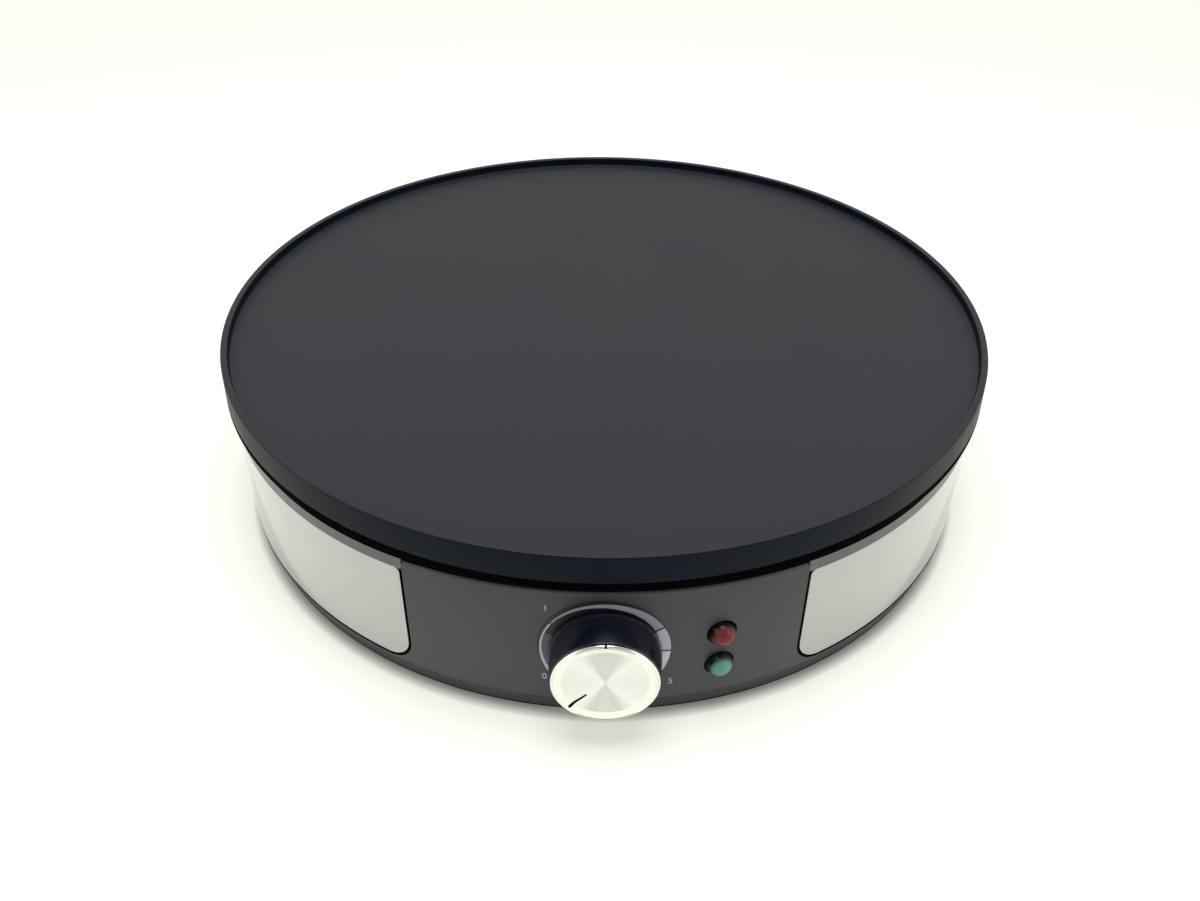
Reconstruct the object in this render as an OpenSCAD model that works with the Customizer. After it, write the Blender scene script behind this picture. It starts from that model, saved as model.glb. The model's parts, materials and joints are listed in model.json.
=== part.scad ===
/* [Plate] */
// Diameter of the cooking plate over its rim
plate_d = 300; // [270:1:330]
// Height of the whole appliance, from the floor to the plate's rim
overall_h = 75; // [70:1:95]
// Height of the plate's outer side
plate_side_h = 13; // [11:0.5:16]
// How much wider the plate's side is at its foot than at its rim, on the radius
plate_draft = 0.5; // [0:0.1:1]
// Width of the flat land on top of the rim
rim_land_w = 3.2; // [2:0.1:6]
// Height of the rim over the cooking face, which is also the radius of the fillet inside it
rim_h = 3.5; // [2:0.1:3.9]
// Thickness of the cast cooking disc
plate_t = 5; // [4:0.1:6]
// Thickness of the plate's side wall
plate_side_t = 3.6; // [3:0.1:5]

/* [Body] */
// Diameter of the drum-shaped body
body_d = 297; // [270:1:330]
// Thickness of the body's moulded wall
body_wall = 4; // [3.6:0.1:5]
// Open gap between the control panel's top edge and the plate
plate_gap = 3; // [2:0.1:6]
// Height of the body's lower edge over the floor
ground_gap = 2.5; // [1.5:0.1:3.5]
// Half of the angle that the control panel takes of the drum, and the rear panel too
fascia_half_angle = 26.2; // [24:0.1:34]
// Height of the dark band below the side panels
base_band_h = 7.2; // [5:0.1:12]

/* [Side panels] */
// Thickness of the stainless steel sheet
panel_t = 0.9; // [0.6:0.1:1.2]
// Open seam round each side panel
panel_seam = 0.8; // [0.5:0.1:1.5]
// Radius of a panel's lower corners
panel_corner_r = 9; // [4:0.5:14]
// Radius of a panel's upper corners
panel_top_corner_r = 2; // [1:0.1:3]
// Height of the shoulder, over the crease, that leans in under the plate
shoulder_h = 7; // [5:0.1:8]
// How far the shoulder leans in
shoulder_lean = 1.7; // [1:0.1:2]

/* [Base] */
// Thickness of the sheet steel base pan
pan_t = 1.2; // [0.8:0.1:2]
// Height of the rubber feet
foot_h = 4.8; // [4.6:0.1:6]
// Radius of a rubber foot
foot_r = 11; // [9:0.5:12]
// Distance of the feet's middles from the inside of the body's wall
foot_inset = 18.5; // [14:0.5:22]
// Direction of the front feet, in degrees from the front
foot_az = 33; // [31:1:34]
// Distance of the plate's four screws from the middle
mount_ring_r = 118; // [114:1:120]
// Radius of the plate's screws
mount_screw_r = 2.45; // [1.95:0.05:2.45]

/* [Heater] */
// Radius of the heater's ring
element_ring_r = 95; // [85:1:98]
// Radius of the heater's tube
element_tube_r = 3.3; // [3:0.1:4]
// Angle left open between the heater's ends
element_gap_angle = 24; // [22:1:34]

/* [Knob] */
// Height of the knob's axis over the floor
knob_z = 32.7; // [30:0.1:36]
// Radius of the knob where it meets the control panel
knob_root_r = 18.6; // [16:0.1:19]
// Radius of the knob's metal face
knob_face_r = 17.3; // [14:0.1:17.4]
// How far the knob stands out of the body
knob_reach = 13.9; // [12:0.1:18]
// Thickness of the knob's metal face
knob_cap_t = 2; // [1.5:0.1:3]
// Radius of the control spindle
spindle_r = 3; // [2.5:0.05:3]
// Turn of the knob from off to its end stop, in degrees
dial_turn = 270; // [180:1:300]
// Direction of the knob's mark when it is off, in degrees from three o'clock
off_angle = 223.5; // [200:0.5:240]

/* [Dial and lamps] */
// Outer radius of the dial's scale ring
scale_r = 21.3; // [20:0.1:23]
// Width of the scale ring at its wide end
scale_wide = 3.7; // [2:0.1:3.9]
// Width of the scale ring at its narrow end
scale_narrow = 0.6; // [0.4:0.1:1.5]
// Radius of a pilot lamp's lens
lens_r = 5; // [4:0.1:6]
// How far a lens stands out of the body
lens_reach = 3.2; // [2:0.1:4.5]
// Direction of the pilot lamps, in degrees from the front
lamp_az = 14.75; // [13:0.25:16]
// Height of the upper lamp over the floor
lamp_high_z = 36.8; // [35:0.1:40]
// Distance between the two lamps
lamp_pitch = 14.3; // [13:0.1:16]

/* [Cord gland] */
// Radius of the hole for the mains cord
cord_hole_r = 3.8; // [3:0.1:4.5]
// Height of the cord gland over the floor
gland_z = 22; // [20:1:30]
// How far the gland stands out of the body
gland_reach = 12; // [10:0.1:16]

/* [Hidden] */

// Facets of large and of small round shapes, for the preview only
$fn = 96;
big_fn = 180;

// Clearances: seated pieces, running fits, screw holes and faces that just miss each other
seat = 0.3;
run_fit = 0.05;
screw_fit = 0.3;
skin = 0.1;

// How far a cutting shape runs past what it cuts
cut = 1;

// How much a round corner's circle overshoots its edges, so that it crosses them at an angle
corner_ease = 0.02;

// Heights that stack up from the floor
body_r = body_d / 2;
plate_r = plate_d / 2;
inner_r = body_r - body_wall;
plate_foot_z = overall_h - plate_side_h;
body_top_z = plate_foot_z - plate_gap;
cook_z = overall_h - rim_h;
under_z = cook_z - plate_t;
pan_z = foot_h;
pan_top_z = pan_z + pan_t;
pan_r = inner_r - seat;
window_z = ground_gap + base_band_h;
window_angle = 180 - 2 * fascia_half_angle;
seam_angle = panel_seam / body_r * 180 / PI;
crease_drop = 5;
crease_z = body_top_z - crease_drop;
panel_back_r = body_r - panel_t;

// Heater, reflector and the plate's screws
element_z = under_z - element_tube_r - run_fit;
clamp_t = 1.5;
clamp_top_z = element_z - element_tube_r - run_fit;
clamp_z = clamp_top_z - clamp_t;
clamp_arm = element_tube_r + 6.2;
clamp_w = 11;
clamp_end = 4.5;
small_screw_r = 1.95;
small_head_r = 3.4;
small_head_h = 2.2;
small_screw_l = 5.5;
small_boss_r = 4;
clamp_az = [20, 100, 260, 340];
reflector_t = 0.6;
reflector_gap = 3;
reflector_top_z = clamp_z - small_head_h - reflector_gap;
reflector_z = reflector_top_z - reflector_t;
reflector_r = inner_r - 8;
reflector_rim_h = 7;
mount_az = [45, 135, 225, 315];
mount_boss_r = 7;
mount_depth = 12;
mount_spare = 2;
mount_head_r = 4.6;
mount_head_h = 2.8;
spacer_r = 5;
elbow_r = 12;
leg_drop = 6;
element_turn = 360 - element_gap_angle;
bushing_h = 5;
bushing_wall = 1;
stem_r = 1.05;

// Base pan's stiffening bead and vents, base screws and feet
bead_inset = 67.5;
bead_r = inner_r - bead_inset;
bead_w = 10;
bead_h = 1.4;
slot_rings = 3;
slot_count = 16;
slot_ring_r = 34;
slot_ring_pitch = 15;
slot_l = 8;
slot_w = 3;
post_az = [20, 90, 160, 200, 270, 340];
post_r = 4.5;
post_sunk = 0.5;
post_ring_r = inner_r - post_r + post_sunk;
post_h = 24;
post_roof = 3;
post_screw_l = 14;
post_screw_r = 1.45;
post_head_r = 3.4;
post_head_h = 1.9;
foot_ring_r = inner_r - foot_inset;
foot_screw_r = 1.95;
foot_head_r = 3.7;
foot_head_h = 1.8;
foot_web = 2.4;
foot_nut_h = 3.2;
foot_nut_w = 7;
foot_screw_spare = 0.6;
foot_chamfer = 0.8;
foot_counterbore_r = foot_head_r + 0.8;
foot_places = [foot_az, 180 - foot_az, 180 + foot_az, 360 - foot_az];

// Studs that hold the side panels
stud_az = [40, 70, 110, 140];
stud_r = 1.5;
stud_z = window_z + 12;
stud_l = 9;
stud_nut_h = 2.4;
stud_nut_w = 5.5;
panel_lip_h = 6;
vent_w = 2.4;
vent_h = 20;
vent_pitch = 2.1;
vent_first = 8.5;
vent_count = 5;
vent_z = knob_z - 6;

// Control axis, from the knob's face back to the diaphragm: places along y
knob_gap = 0.7;
knob_back = body_r + knob_gap;
knob_face = body_r + knob_reach;
cap_back = knob_face - knob_cap_t;
knob_l = cap_back - knob_back;
knob_skirt_t = 2;
knob_web_t = 2.6;
hub_r = 5.6;
flat_depth = 0.9;
spindle_play = 0.4;
spindle_front = cap_back - knob_web_t - spindle_play;
pad_depth = 4;
pad_w = 48;
pad_h = 30;
pad_y = inner_r - pad_depth;
flange_t = 1.4;
body_front = pad_y - flange_t - skin;
bushing_front = body_r - 1;
bushing_r = 5;
bushing_flange_r = 7;
collar_r = 5;
collar_front = body_front - 1.8;
collar_l = 5.6;
collar_back = collar_front - collar_l;
thread_lead = 1.5;
pin_travel = thread_lead * dial_turn / 360;
pin_in = 4.6;
pin_bore_depth = pin_in + pin_travel + 0.675;
pin_r = 1.55;
pin_key = 5;
pin_key_l = 1.6;
guide_l = 5.2;
guide_back = collar_back - guide_l;
pin_out = 0.6;
pin_end = guide_back - pin_out;
leaf_t = 0.4;
leaf_w = 5;
leaf_end = 12;
leaf_front = pin_end - skin;
chamber_l = 12;
chamber_w = 30;
chamber_h = 23;
chamber_back = guide_back - chamber_l;
contact_x = 7;
contact_r = 1.8;
contact_gap = 0.4;
cover_t = 1.4;
thermo_w = 40;
thermo_h = 30;
thermo_screw_x = 13.5;
thermo_screw_r = 1.95;
thermo_screw_l = 8;
thermo_head_r = 3.6;
thermo_head_h = 2;
thermo_head_depth = 3.4;
pointer_from = 7.95;
pointer_l = 7.9;
pointer_w = 0.9;
pointer_depth = 0.35;
pointer_t = pointer_depth - 0.02;
clip_t = 0.85;
clip_h = 3.6;
clip_groove = 0.9;

// Dial scale, lamps and gland
scale_t = 0.3;
scale_proud = 0.12;
scale_before_off = 14.5;
scale_past_stop = 18.5;
scale_from = off_angle - dial_turn + scale_past_stop;
scale_to = off_angle - scale_before_off;
scale_breaks = [-2, 28, 146];
scale_break_w = 0.55;
lamp_stem_r = 3.9;
lamp_stem_l = 14;
lamp_bore_r = 2.9;
lamps_z = [lamp_high_z, lamp_high_z - lamp_pitch];
gland_neck_r = 8;
gland_flange_r = 10.5;
gland_flange_t = 2.5;
gland_tip_r = 6.2;
gland_in = 12;
gland_nut_t = 4;
gland_nut_w = 22;
gland_nut_gap = 0.7;
gland_ring_pitch = 2.4;
gland_ring_w = 1;
gland_ring_depth = 0.2;

// Blade tabs of the heater and of the thermostat, and the gap between a wire's end and its tab
tab_w = 6.3;
tab_t = 0.8;
tab_l = 8;
tab_below = tab_l + bushing_h + 2;
tab_x = 10;
tab_drop = 7;
tab_out = 10;
wire_gap = 0.15;
wire_r = 1.3;
lead_r = 1.2;
lamp_lead_r = 0.9;

// Sensor, fuse and terminals
bulb_r = 3;
bulb_l = 62;
bulb_y = -58;
bulb_z = under_z - bulb_r - run_fit;
fuse_r = 2.2;
fuse_l = 16;
fuse_lead_l = 5;
fuse_y = 44;
fuse_z = under_z - fuse_r - run_fit;
fuse_hole_x = fuse_l / 2 + 14;
fuse_hole_r = 3;
capillary_r = 1;
capillary_hole_r = 3.2;
clip_w = 12;
clip_gap = 1.9;
clip_back = 3;
clip_screw_l = 4.4;
spring_clip_t = 1.2;
block_inset = 50.5;
block_at = [-34, inner_r - block_inset];
block_size = [30, 17, 14];
block_poles = 3;
block_pitch = 9;
block_bore_r = 2.4;
block_bore_z = 6;
block_screw_r = 2;
block_screw_y = 4.5;
block_screw_z = 8.2;
earth_inset = 40.5;
earth_at = [26, inner_r - earth_inset];
earth_screw_spare = 1.6;
earth_tag_r = 4;
earth_tag_l = 14;

// Colours
charcoal = [0.22, 0.225, 0.24];
gunmetal = [0.30, 0.30, 0.31];
steel = [0.80, 0.80, 0.78];
zinc = [0.66, 0.67, 0.68];
black = [0.06, 0.06, 0.07];
brass = [0.80, 0.66, 0.36];
ceramic = [0.90, 0.88, 0.83];
bakelite = [0.16, 0.13, 0.12];
rubber = [0.09, 0.09, 0.09];

// Points of an arc round a centre, from one angle to another
function arc(c, r, from, to, steps) =
    [for (i = [0 : steps]) let (a = from + (to - from) * i / steps) [c[0] + r * cos(a), c[1] + r * sin(a)]];

// Places children at a direction from the front, at a radius and a height, facing inwards along +Y
module at_az(az, r = 0, z = 0) {
    rotate([0, 0, az]) translate([0, -r, z]) children();
}

// The same, with the children's +Z pointing outwards
module outward(az, r, z) {
    at_az(az, r, z) rotate([90, 0, 0]) children();
}

// Children on the control axis, +Z towards the front, at a distance in front of the middle
module on_axis(y) {
    outward(0, y, knob_z) children();
}

// Flat ring or tube along +Z
module tube(r_out, r_in, h) {
    difference() {
        cylinder(r = r_out, h = h);
        hole(r_in, h);
    }
}

// Drill for a wall of a thickness that stands on z = 0
module hole(r, h) {
    translate([0, 0, -cut]) cylinder(r = r, h = h + 2 * cut);
}

// Pan-head screw: head below z = 0, shank above
module screw(head_r, head_h, shank_r, shank_l) {
    recess_l = head_r * 1.2;
    recess_w = 0.8;
    difference() {
        union() {
            translate([0, 0, -head_h]) cylinder(r = head_r, h = head_h);
            cylinder(r = shank_r, h = shank_l);
        }
        for (turn = [0, 90])
            rotate(turn) translate([-recess_l / 2, -recess_w / 2, -head_h - cut])
                cube([recess_l, recess_w, cut + head_h / 2]);
    }
}

// Hex nut with a round hole
module nut(across, hole_r, h) {
    difference() {
        cylinder(d = across / cos(30), h = h, $fn = 6);
        hole(hole_r, h);
    }
}

// Round wire along a list of points, closed at both ends
function unit(v) = v / norm(v);
function tangent(p, i) = unit(p[min(i + 1, len(p) - 1)] - p[max(i - 1, 0)]);
function side_of(t) = unit(cross(t, abs(t[2]) > 0.9 ? [1, 0, 0] : [0, 0, 1]));
function wire_ring(p, i, r, n) =
    let (t = tangent(p, i), u = side_of(t), v = cross(u, t))
    [for (k = [0 : n - 1]) p[i] + r * (cos(360 * k / n) * u + sin(360 * k / n) * v)];
module wire(points, r, n = 8) {
    rings = [for (i = [0 : len(points) - 1]) each wire_ring(points, i, r, n)];
    last = (len(points) - 1) * n;
    faces = concat(
        [[for (k = [0 : n - 1]) k]],
        [for (i = [0 : len(points) - 2], k = [0 : n - 1])
            [i * n + k, (i + 1) * n + k, (i + 1) * n + (k + 1) % n, i * n + (k + 1) % n]],
        [[for (k = [n - 1 : -1 : 0]) last + k]]);
    polyhedron(points = rings, faces = faces, convexity = 6);
}
// Smooth path through a few points, with a number of steps between each two
function bend(a, b, c, d, t) =
    0.5 * (2 * b + (c - a) * t + (2 * a - 5 * b + 4 * c - d) * t * t + (3 * b - a - 3 * c + d) * t * t * t);
function smooth(p, steps = 4) = concat(
    [for (i = [0 : len(p) - 2], k = [0 : steps - 1])
        bend(p[max(i - 1, 0)], p[i], p[i + 1], p[min(i + 2, len(p) - 1)], k / steps)],
    [p[len(p) - 1]]);

/* Cooking plate and heater */

module hotplate() {
    land_in = plate_r - rim_land_w;
    lip = 0.8;
    foot_lip = 1.6;
    foot_r_out = plate_r + plate_draft;
    mount_boss_h = under_z - reflector_top_z;
    clamp_boss_h = under_z - clamp_top_z;
    profile = concat(
        [[0, under_z], [0, cook_z]],
        arc([land_in - rim_h, overall_h], rim_h, -90, 0, 6),
        arc([plate_r - lip, overall_h - lip], lip, 90, 0, 3),
        [[foot_r_out, plate_foot_z + foot_lip], [foot_r_out - foot_lip, plate_foot_z],
         [plate_r - plate_side_t, plate_foot_z], [plate_r - plate_side_t, under_z]]);
    color(charcoal) difference() {
        union() {
            rotate_extrude($fn = big_fn) polygon(profile);
            for (az = mount_az)
                at_az(az, mount_ring_r, reflector_top_z) cylinder(r = mount_boss_r, h = mount_boss_h + 1);
            at_clamp_screws(clamp_top_z) cylinder(r = small_boss_r, h = clamp_boss_h + 1);
            for (p = clip_places())
                translate(p) cylinder(r = small_boss_r, h = under_z - p[2] + 1);
        }
        for (az = mount_az)
            at_az(az, mount_ring_r, reflector_top_z - cut)
                cylinder(r = mount_screw_r + run_fit, h = mount_depth + cut);
        at_clamp_screws(clamp_top_z) hole(small_screw_r + run_fit, clamp_boss_h);
        for (p = clip_places())
            translate(p) hole(small_screw_r + run_fit, under_z - p[2]);
    }
}

// Children at each screw of the heater's clamps
module at_clamp_screws(z) {
    for (az = clamp_az, side = [-1, 1])
        at_az(az, element_ring_r + side * clamp_arm, z) children();
}

module heating_element() {
    color(zinc) translate([0, 0, element_z]) {
        rotate([0, 0, 90 + element_gap_angle / 2])
            rotate_extrude(angle = element_turn, $fn = big_fn)
                translate([element_ring_r, 0]) circle(r = element_tube_r);
        for (side = [-1, 1])
            rotate([0, 0, 90 + side * element_gap_angle / 2]) translate([element_ring_r, 0, 0]) {
                translate([0, 0, -elbow_r]) rotate([0, 90, 0]) rotate([0, 0, side > 0 ? 180 : 90])
                    rotate_extrude(angle = 90) translate([elbow_r, 0]) circle(r = element_tube_r);
                translate([0, -side * elbow_r, -elbow_r - leg_drop])
                    cylinder(r = element_tube_r, h = leg_drop);
            }
    }
}

// The two places where the heater's ends point down
module at_element_ends(z = 0) {
    for (side = [-1, 1])
        rotate([0, 0, 90 + side * element_gap_angle / 2])
            translate([element_ring_r, -side * elbow_r, element_z - elbow_r - leg_drop + z]) children();
}

module element_bushings() {
    color(ceramic) at_element_ends(-bushing_h)
        tube(element_tube_r + bushing_wall, stem_r + run_fit, bushing_h);
}

module element_tabs() {
    color(brass) at_element_ends(-tab_below) {
        translate([-tab_w / 2, -tab_t / 2, 0]) cube([tab_w, tab_t, tab_l]);
        translate([0, 0, tab_l - 1]) cylinder(r = stem_r, h = tab_below - tab_l);
    }
}

module element_clamps() {
    color(zinc) for (az = clamp_az) at_az(az, element_ring_r, clamp_z) difference() {
        translate([-clamp_w / 2, -clamp_arm - clamp_end, 0])
            cube([clamp_w, 2 * (clamp_arm + clamp_end), clamp_t]);
        for (side = [-1, 1])
            translate([0, side * clamp_arm, 0]) hole(small_screw_r + screw_fit, clamp_t);
    }
}

module clamp_screws() {
    color(steel) at_clamp_screws(clamp_z)
        screw(small_head_r, small_head_h, small_screw_r, clamp_t + small_screw_l);
}

module heat_reflector() {
    rim_z = reflector_top_z + reflector_rim_h;
    inside_r = reflector_r - reflector_t;
    dish = [[0, reflector_z], [0, reflector_top_z], [inside_r, reflector_top_z], [inside_r, rim_z],
        [reflector_r, rim_z], [reflector_r, reflector_z]];
    color([0.74, 0.75, 0.76]) difference() {
        rotate_extrude($fn = big_fn) polygon(dish);
        for (az = mount_az)
            at_az(az, mount_ring_r, reflector_z) hole(mount_screw_r + screw_fit, reflector_t);
        at_element_ends(-elbow_r - leg_drop) cylinder(r = element_tube_r + 2.2, h = 2 * (elbow_r + leg_drop));
        translate([capillary_hole()[0], capillary_hole()[1], reflector_z])
            hole(capillary_hole_r, reflector_t);
        for (side = [-1, 1])
            translate([side * fuse_hole_x, fuse_y, reflector_z]) hole(fuse_hole_r, reflector_t);
    }
}

module plate_spacers() {
    color(zinc) for (az = mount_az)
        at_az(az, mount_ring_r, pan_top_z) tube(spacer_r, mount_screw_r + screw_fit, reflector_z - pan_top_z);
}

module plate_screws() {
    l = reflector_top_z - pan_z + mount_depth - mount_spare;
    color(steel) for (az = mount_az)
        at_az(az, mount_ring_r, pan_z) screw(mount_head_r, mount_head_h, mount_screw_r, l);
}

/* Body */

// What a round corner takes off a square one: front or rear edge of a side panel, at its foot or its top
module corner(r, edge_az, z, rear = false, top = false) {
    outward(edge_az, body_r - 6, z) linear_extrude(height = 12)
        translate([rear ? -r : 0, top ? -r : 0]) difference() {
            translate([rear ? 0 : -1, top ? 0 : -1]) square(r + 1);
            translate([rear ? 0 : r, top ? 0 : r]) circle(r = r + corner_ease);
        }
}

// Space that a side panel sits in
module side_window() {
    reach = body_r + 5;
    back = panel_back_r - seat;
    top_back = back - shoulder_lean * (plate_foot_z - crease_z) / shoulder_h;
    outline = [[back, window_z], [back, crease_z], [top_back, plate_foot_z],
        [reach, plate_foot_z], [reach, window_z]];
    rotate([0, 0, fascia_half_angle - 90])
        rotate_extrude(angle = window_angle, $fn = big_fn) polygon(outline);
}

// Round lower corners of that space, a seam wider than the panel's own
module window_corners() {
    intersection() {
        tube_between(panel_back_r - seat - 0.5, body_r);
        union() {
            corner(panel_corner_r + panel_seam, fascia_half_angle, window_z);
            corner(panel_corner_r + panel_seam, 180 - fascia_half_angle, window_z, rear = true);
        }
    }
}

// Vertical slots in the rear panel
module rear_vents() {
    depth = body_wall + 4 * cut;
    for (side = [-1, 1], i = [0 : vent_count - 1])
        outward(180 + side * (vent_first + vent_pitch * i), inner_r - 2 * cut, vent_z) {
            translate([-vent_w / 2, 0, 0]) cube([vent_w, vent_h, depth]);
            for (y = [0, vent_h]) translate([0, y, 0]) cylinder(d = vent_w, h = depth);
        }
}

module housing() {
    edge = 1.4;
    through = body_wall + 4 * cut;
    wall = [[inner_r, ground_gap], [body_r - edge, ground_gap], [body_r, ground_gap + edge],
        [body_r, body_top_z - edge], [body_r - edge, body_top_z], [inner_r, body_top_z]];
    color(gunmetal) difference() {
        union() {
            difference() {
                rotate_extrude($fn = big_fn) polygon(wall);
                for (turn = [0, 180]) rotate(turn) side_window();
            }
            for (turn = [0, 180]) rotate(turn) window_corners();
            for (az = post_az)
                at_az(az, post_ring_r, pan_top_z) cylinder(r = post_r, h = post_h);
            translate([-pad_w / 2, -inner_r - body_wall / 2, knob_z - pad_h / 2])
                cube([pad_w, inner_r + body_wall / 2 - pad_y, pad_h]);
        }
        for (az = post_az)
            at_az(az, post_ring_r, pan_top_z - cut)
                cylinder(r = post_screw_r + run_fit, h = cut + post_h - post_roof);
        for (turn = [0, 180], az = stud_az)
            outward(az + turn, inner_r - 2 * cut, stud_z) cylinder(r = stud_r + screw_fit, h = through);
        on_axis(pad_y) hole(bushing_r + screw_fit, body_r - pad_y);
        for (side = [-1, 1])
            on_axis(0) translate([side * thermo_screw_x, 0, 0]) {
                translate([0, 0, pad_y]) hole(thermo_screw_r + screw_fit, body_r - pad_y);
                translate([0, 0, body_r - thermo_head_depth])
                    cylinder(r = thermo_head_r + screw_fit, h = thermo_head_depth + cut);
            }
        for (z = lamps_z)
            outward(lamp_az, inner_r - 2 * cut, z) cylinder(r = lamp_stem_r + screw_fit, h = through);
        outward(180, inner_r - 2 * cut, gland_z) cylinder(r = gland_neck_r + screw_fit, h = through);
        rear_vents();
        scale_body(body_r - scale_t, body_r + cut, run_fit);
    }
}

// A stainless sheet: upright wall, shoulder that leans in, and a lip hooked over the body's edge
module side_panel(turn) {
    lean = shoulder_lean;
    shoulder_z = crease_z + shoulder_h;
    foot_z = window_z + panel_seam;
    back = panel_back_r;
    lip_r = inner_r - seat;
    lip_z = shoulder_z - panel_lip_h;
    wall = [[back, foot_z], [body_r, foot_z], [body_r, crease_z], [back, crease_z]];
    shoulder = [[back, crease_z], [body_r, crease_z], [body_r - lean, shoulder_z],
        [lip_r - panel_t, shoulder_z], [lip_r - panel_t, lip_z], [lip_r, lip_z],
        [lip_r, shoulder_z - panel_t], [back - lean, shoulder_z - panel_t]];
    first = fascia_half_angle + seam_angle;
    turned = 180 - 2 * first;
    color(steel) rotate([0, 0, turn]) {
        difference() {
            rotate([0, 0, first - 90]) rotate_extrude(angle = turned, $fn = big_fn) polygon(wall);
            corner(panel_corner_r, first, foot_z);
            corner(panel_corner_r, 180 - first, foot_z, rear = true);
            corner(panel_top_corner_r, first, crease_z, top = true);
            corner(panel_top_corner_r, 180 - first, crease_z, rear = true, top = true);
        }
        rotate([0, 0, first - 90]) rotate_extrude(angle = turned, $fn = big_fn) polygon(shoulder);
        for (az = stud_az)
            outward(az, panel_back_r - stud_l, stud_z) cylinder(r = stud_r, h = stud_l + panel_t / 2);
    }
}
module right_side_panel() { side_panel(0); }
module left_side_panel() { side_panel(180); }

module panel_nuts() {
    color(zinc) for (turn = [0, 180], az = stud_az)
        outward(az + turn, inner_r - skin - stud_nut_h, stud_z) nut(stud_nut_w, stud_r + run_fit, stud_nut_h);
}

/* Base */

// Ring pressed into the pan to stiffen it
module pan_bead(w, z, h) {
    half = w / 2;
    rotate_extrude($fn = big_fn) translate([bead_r, z])
        polygon([[-half, 0], [h - half, h], [half - h, h], [half, 0]]);
}

module base_pan() {
    color(zinc) difference() {
        union() {
            translate([0, 0, pan_z]) cylinder(r = pan_r, h = pan_t, $fn = big_fn);
            pan_bead(bead_w, pan_top_z - skin, bead_h + skin);
        }
        pan_bead(bead_w - 2 * pan_t, pan_z - skin, bead_h + skin);
        for (az = mount_az) at_az(az, mount_ring_r, pan_z) hole(mount_screw_r + screw_fit, pan_t);
        for (az = post_az) at_az(az, post_ring_r, pan_z) hole(post_screw_r + screw_fit, pan_t);
        for (az = foot_places) at_az(az, foot_ring_r, pan_z) hole(foot_screw_r + screw_fit, pan_t);
        translate([earth_at[0], earth_at[1], pan_z]) hole(small_screw_r + run_fit, pan_t);
        for (ring = [0 : slot_rings - 1], i = [0 : slot_count - 1])
            rotate([0, 0, (i + ring / 2) * 360 / slot_count])
                translate([slot_ring_r + ring * slot_ring_pitch, 0, pan_z]) {
                    translate([-slot_l / 2, -slot_w / 2, -cut]) cube([slot_l, slot_w, pan_t + 2 * cut]);
                    for (x = [-slot_l / 2, slot_l / 2]) translate([x, 0, 0]) hole(slot_w / 2, pan_t);
                }
    }
}

module base_screws() {
    color(steel) for (az = post_az)
        at_az(az, post_ring_r, pan_z) screw(post_head_r, post_head_h, post_screw_r, pan_t + post_screw_l);
}

module foot(az) {
    color(rubber) at_az(az, foot_ring_r) difference() {
        rotate_extrude() polygon([[0, 0], [foot_r - 2 * foot_chamfer, 0],
            [foot_r - foot_chamfer, foot_chamfer], [foot_r, foot_h], [0, foot_h]]);
        translate([0, 0, -cut]) cylinder(r = foot_counterbore_r, h = cut + foot_h - foot_web);
        hole(foot_screw_r + run_fit, foot_h);
    }
}
module foot_front_right() { foot(foot_places[0]); }
module foot_rear_right() { foot(foot_places[1]); }
module foot_rear_left() { foot(foot_places[2]); }
module foot_front_left() { foot(foot_places[3]); }

module foot_screws() {
    color(steel) for (az = foot_places)
        at_az(az, foot_ring_r, foot_h - foot_web)
            screw(foot_head_r, foot_head_h, foot_screw_r, foot_web + pan_t + foot_nut_h + foot_screw_spare);
}

module foot_nuts() {
    color(zinc) for (az = foot_places)
        at_az(az, foot_ring_r, pan_top_z) nut(foot_nut_w, foot_screw_r + run_fit, foot_nut_h);
}

/* Mains inlet */

module cord_gland() {
    tip = gland_reach - skin;
    edge = 0.8;
    taper = (gland_neck_r - gland_tip_r) / (tip - gland_flange_t);
    function neck_r_at(z) = gland_neck_r - taper * (z - gland_flange_t);
    color(black) outward(180, body_r + skin, gland_z) difference() {
        rotate_extrude() polygon([[0, -gland_in], [gland_neck_r, -gland_in], [gland_neck_r, 0],
            [gland_flange_r, 0], [gland_flange_r, gland_flange_t - edge],
            [gland_flange_r - edge, gland_flange_t],
            [gland_neck_r, gland_flange_t], [gland_tip_r, tip], [0, tip]]);
        translate([0, 0, -gland_in]) hole(cord_hole_r, gland_in + tip);
        for (i = [1 : 3])
            let (z = gland_flange_t + i * gland_ring_pitch)
                translate([0, 0, z]) tube(gland_flange_r, neck_r_at(z) - 3 * gland_ring_depth, gland_ring_w);
    }
}

module gland_nut() {
    color(black) outward(180, inner_r - gland_nut_gap - gland_nut_t, gland_z)
        nut(gland_nut_w, gland_neck_r + run_fit, gland_nut_t);
}

module terminal_block() {
    color(ceramic) translate([block_at[0], block_at[1], pan_top_z]) difference() {
        translate([-block_size[0] / 2, -block_size[1] / 2, 0]) cube(block_size);
        for (i = [0 : block_poles - 1]) translate([(i - 1) * block_pitch, 0, 0]) {
            translate([0, -block_size[1], block_bore_z])
                rotate([-90, 0, 0]) cylinder(r = block_bore_r, h = 2 * block_size[1]);
            for (y = [-block_screw_y, block_screw_y])
                translate([0, y, block_bore_z]) cylinder(r = block_screw_r + skin, h = block_size[2]);
        }
    }
}

module terminal_screws() {
    h = 4.6;
    slot = 0.8;
    color(brass) for (i = [0 : block_poles - 1], y = [-block_screw_y, block_screw_y])
        translate([block_at[0] + (i - 1) * block_pitch, block_at[1] + y, pan_top_z + block_screw_z])
            difference() {
                cylinder(r = block_screw_r, h = h);
                translate([-block_screw_r - cut, -slot / 2, h - slot])
                    cube([2 * (block_screw_r + cut), slot, slot + cut]);
            }
}

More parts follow.
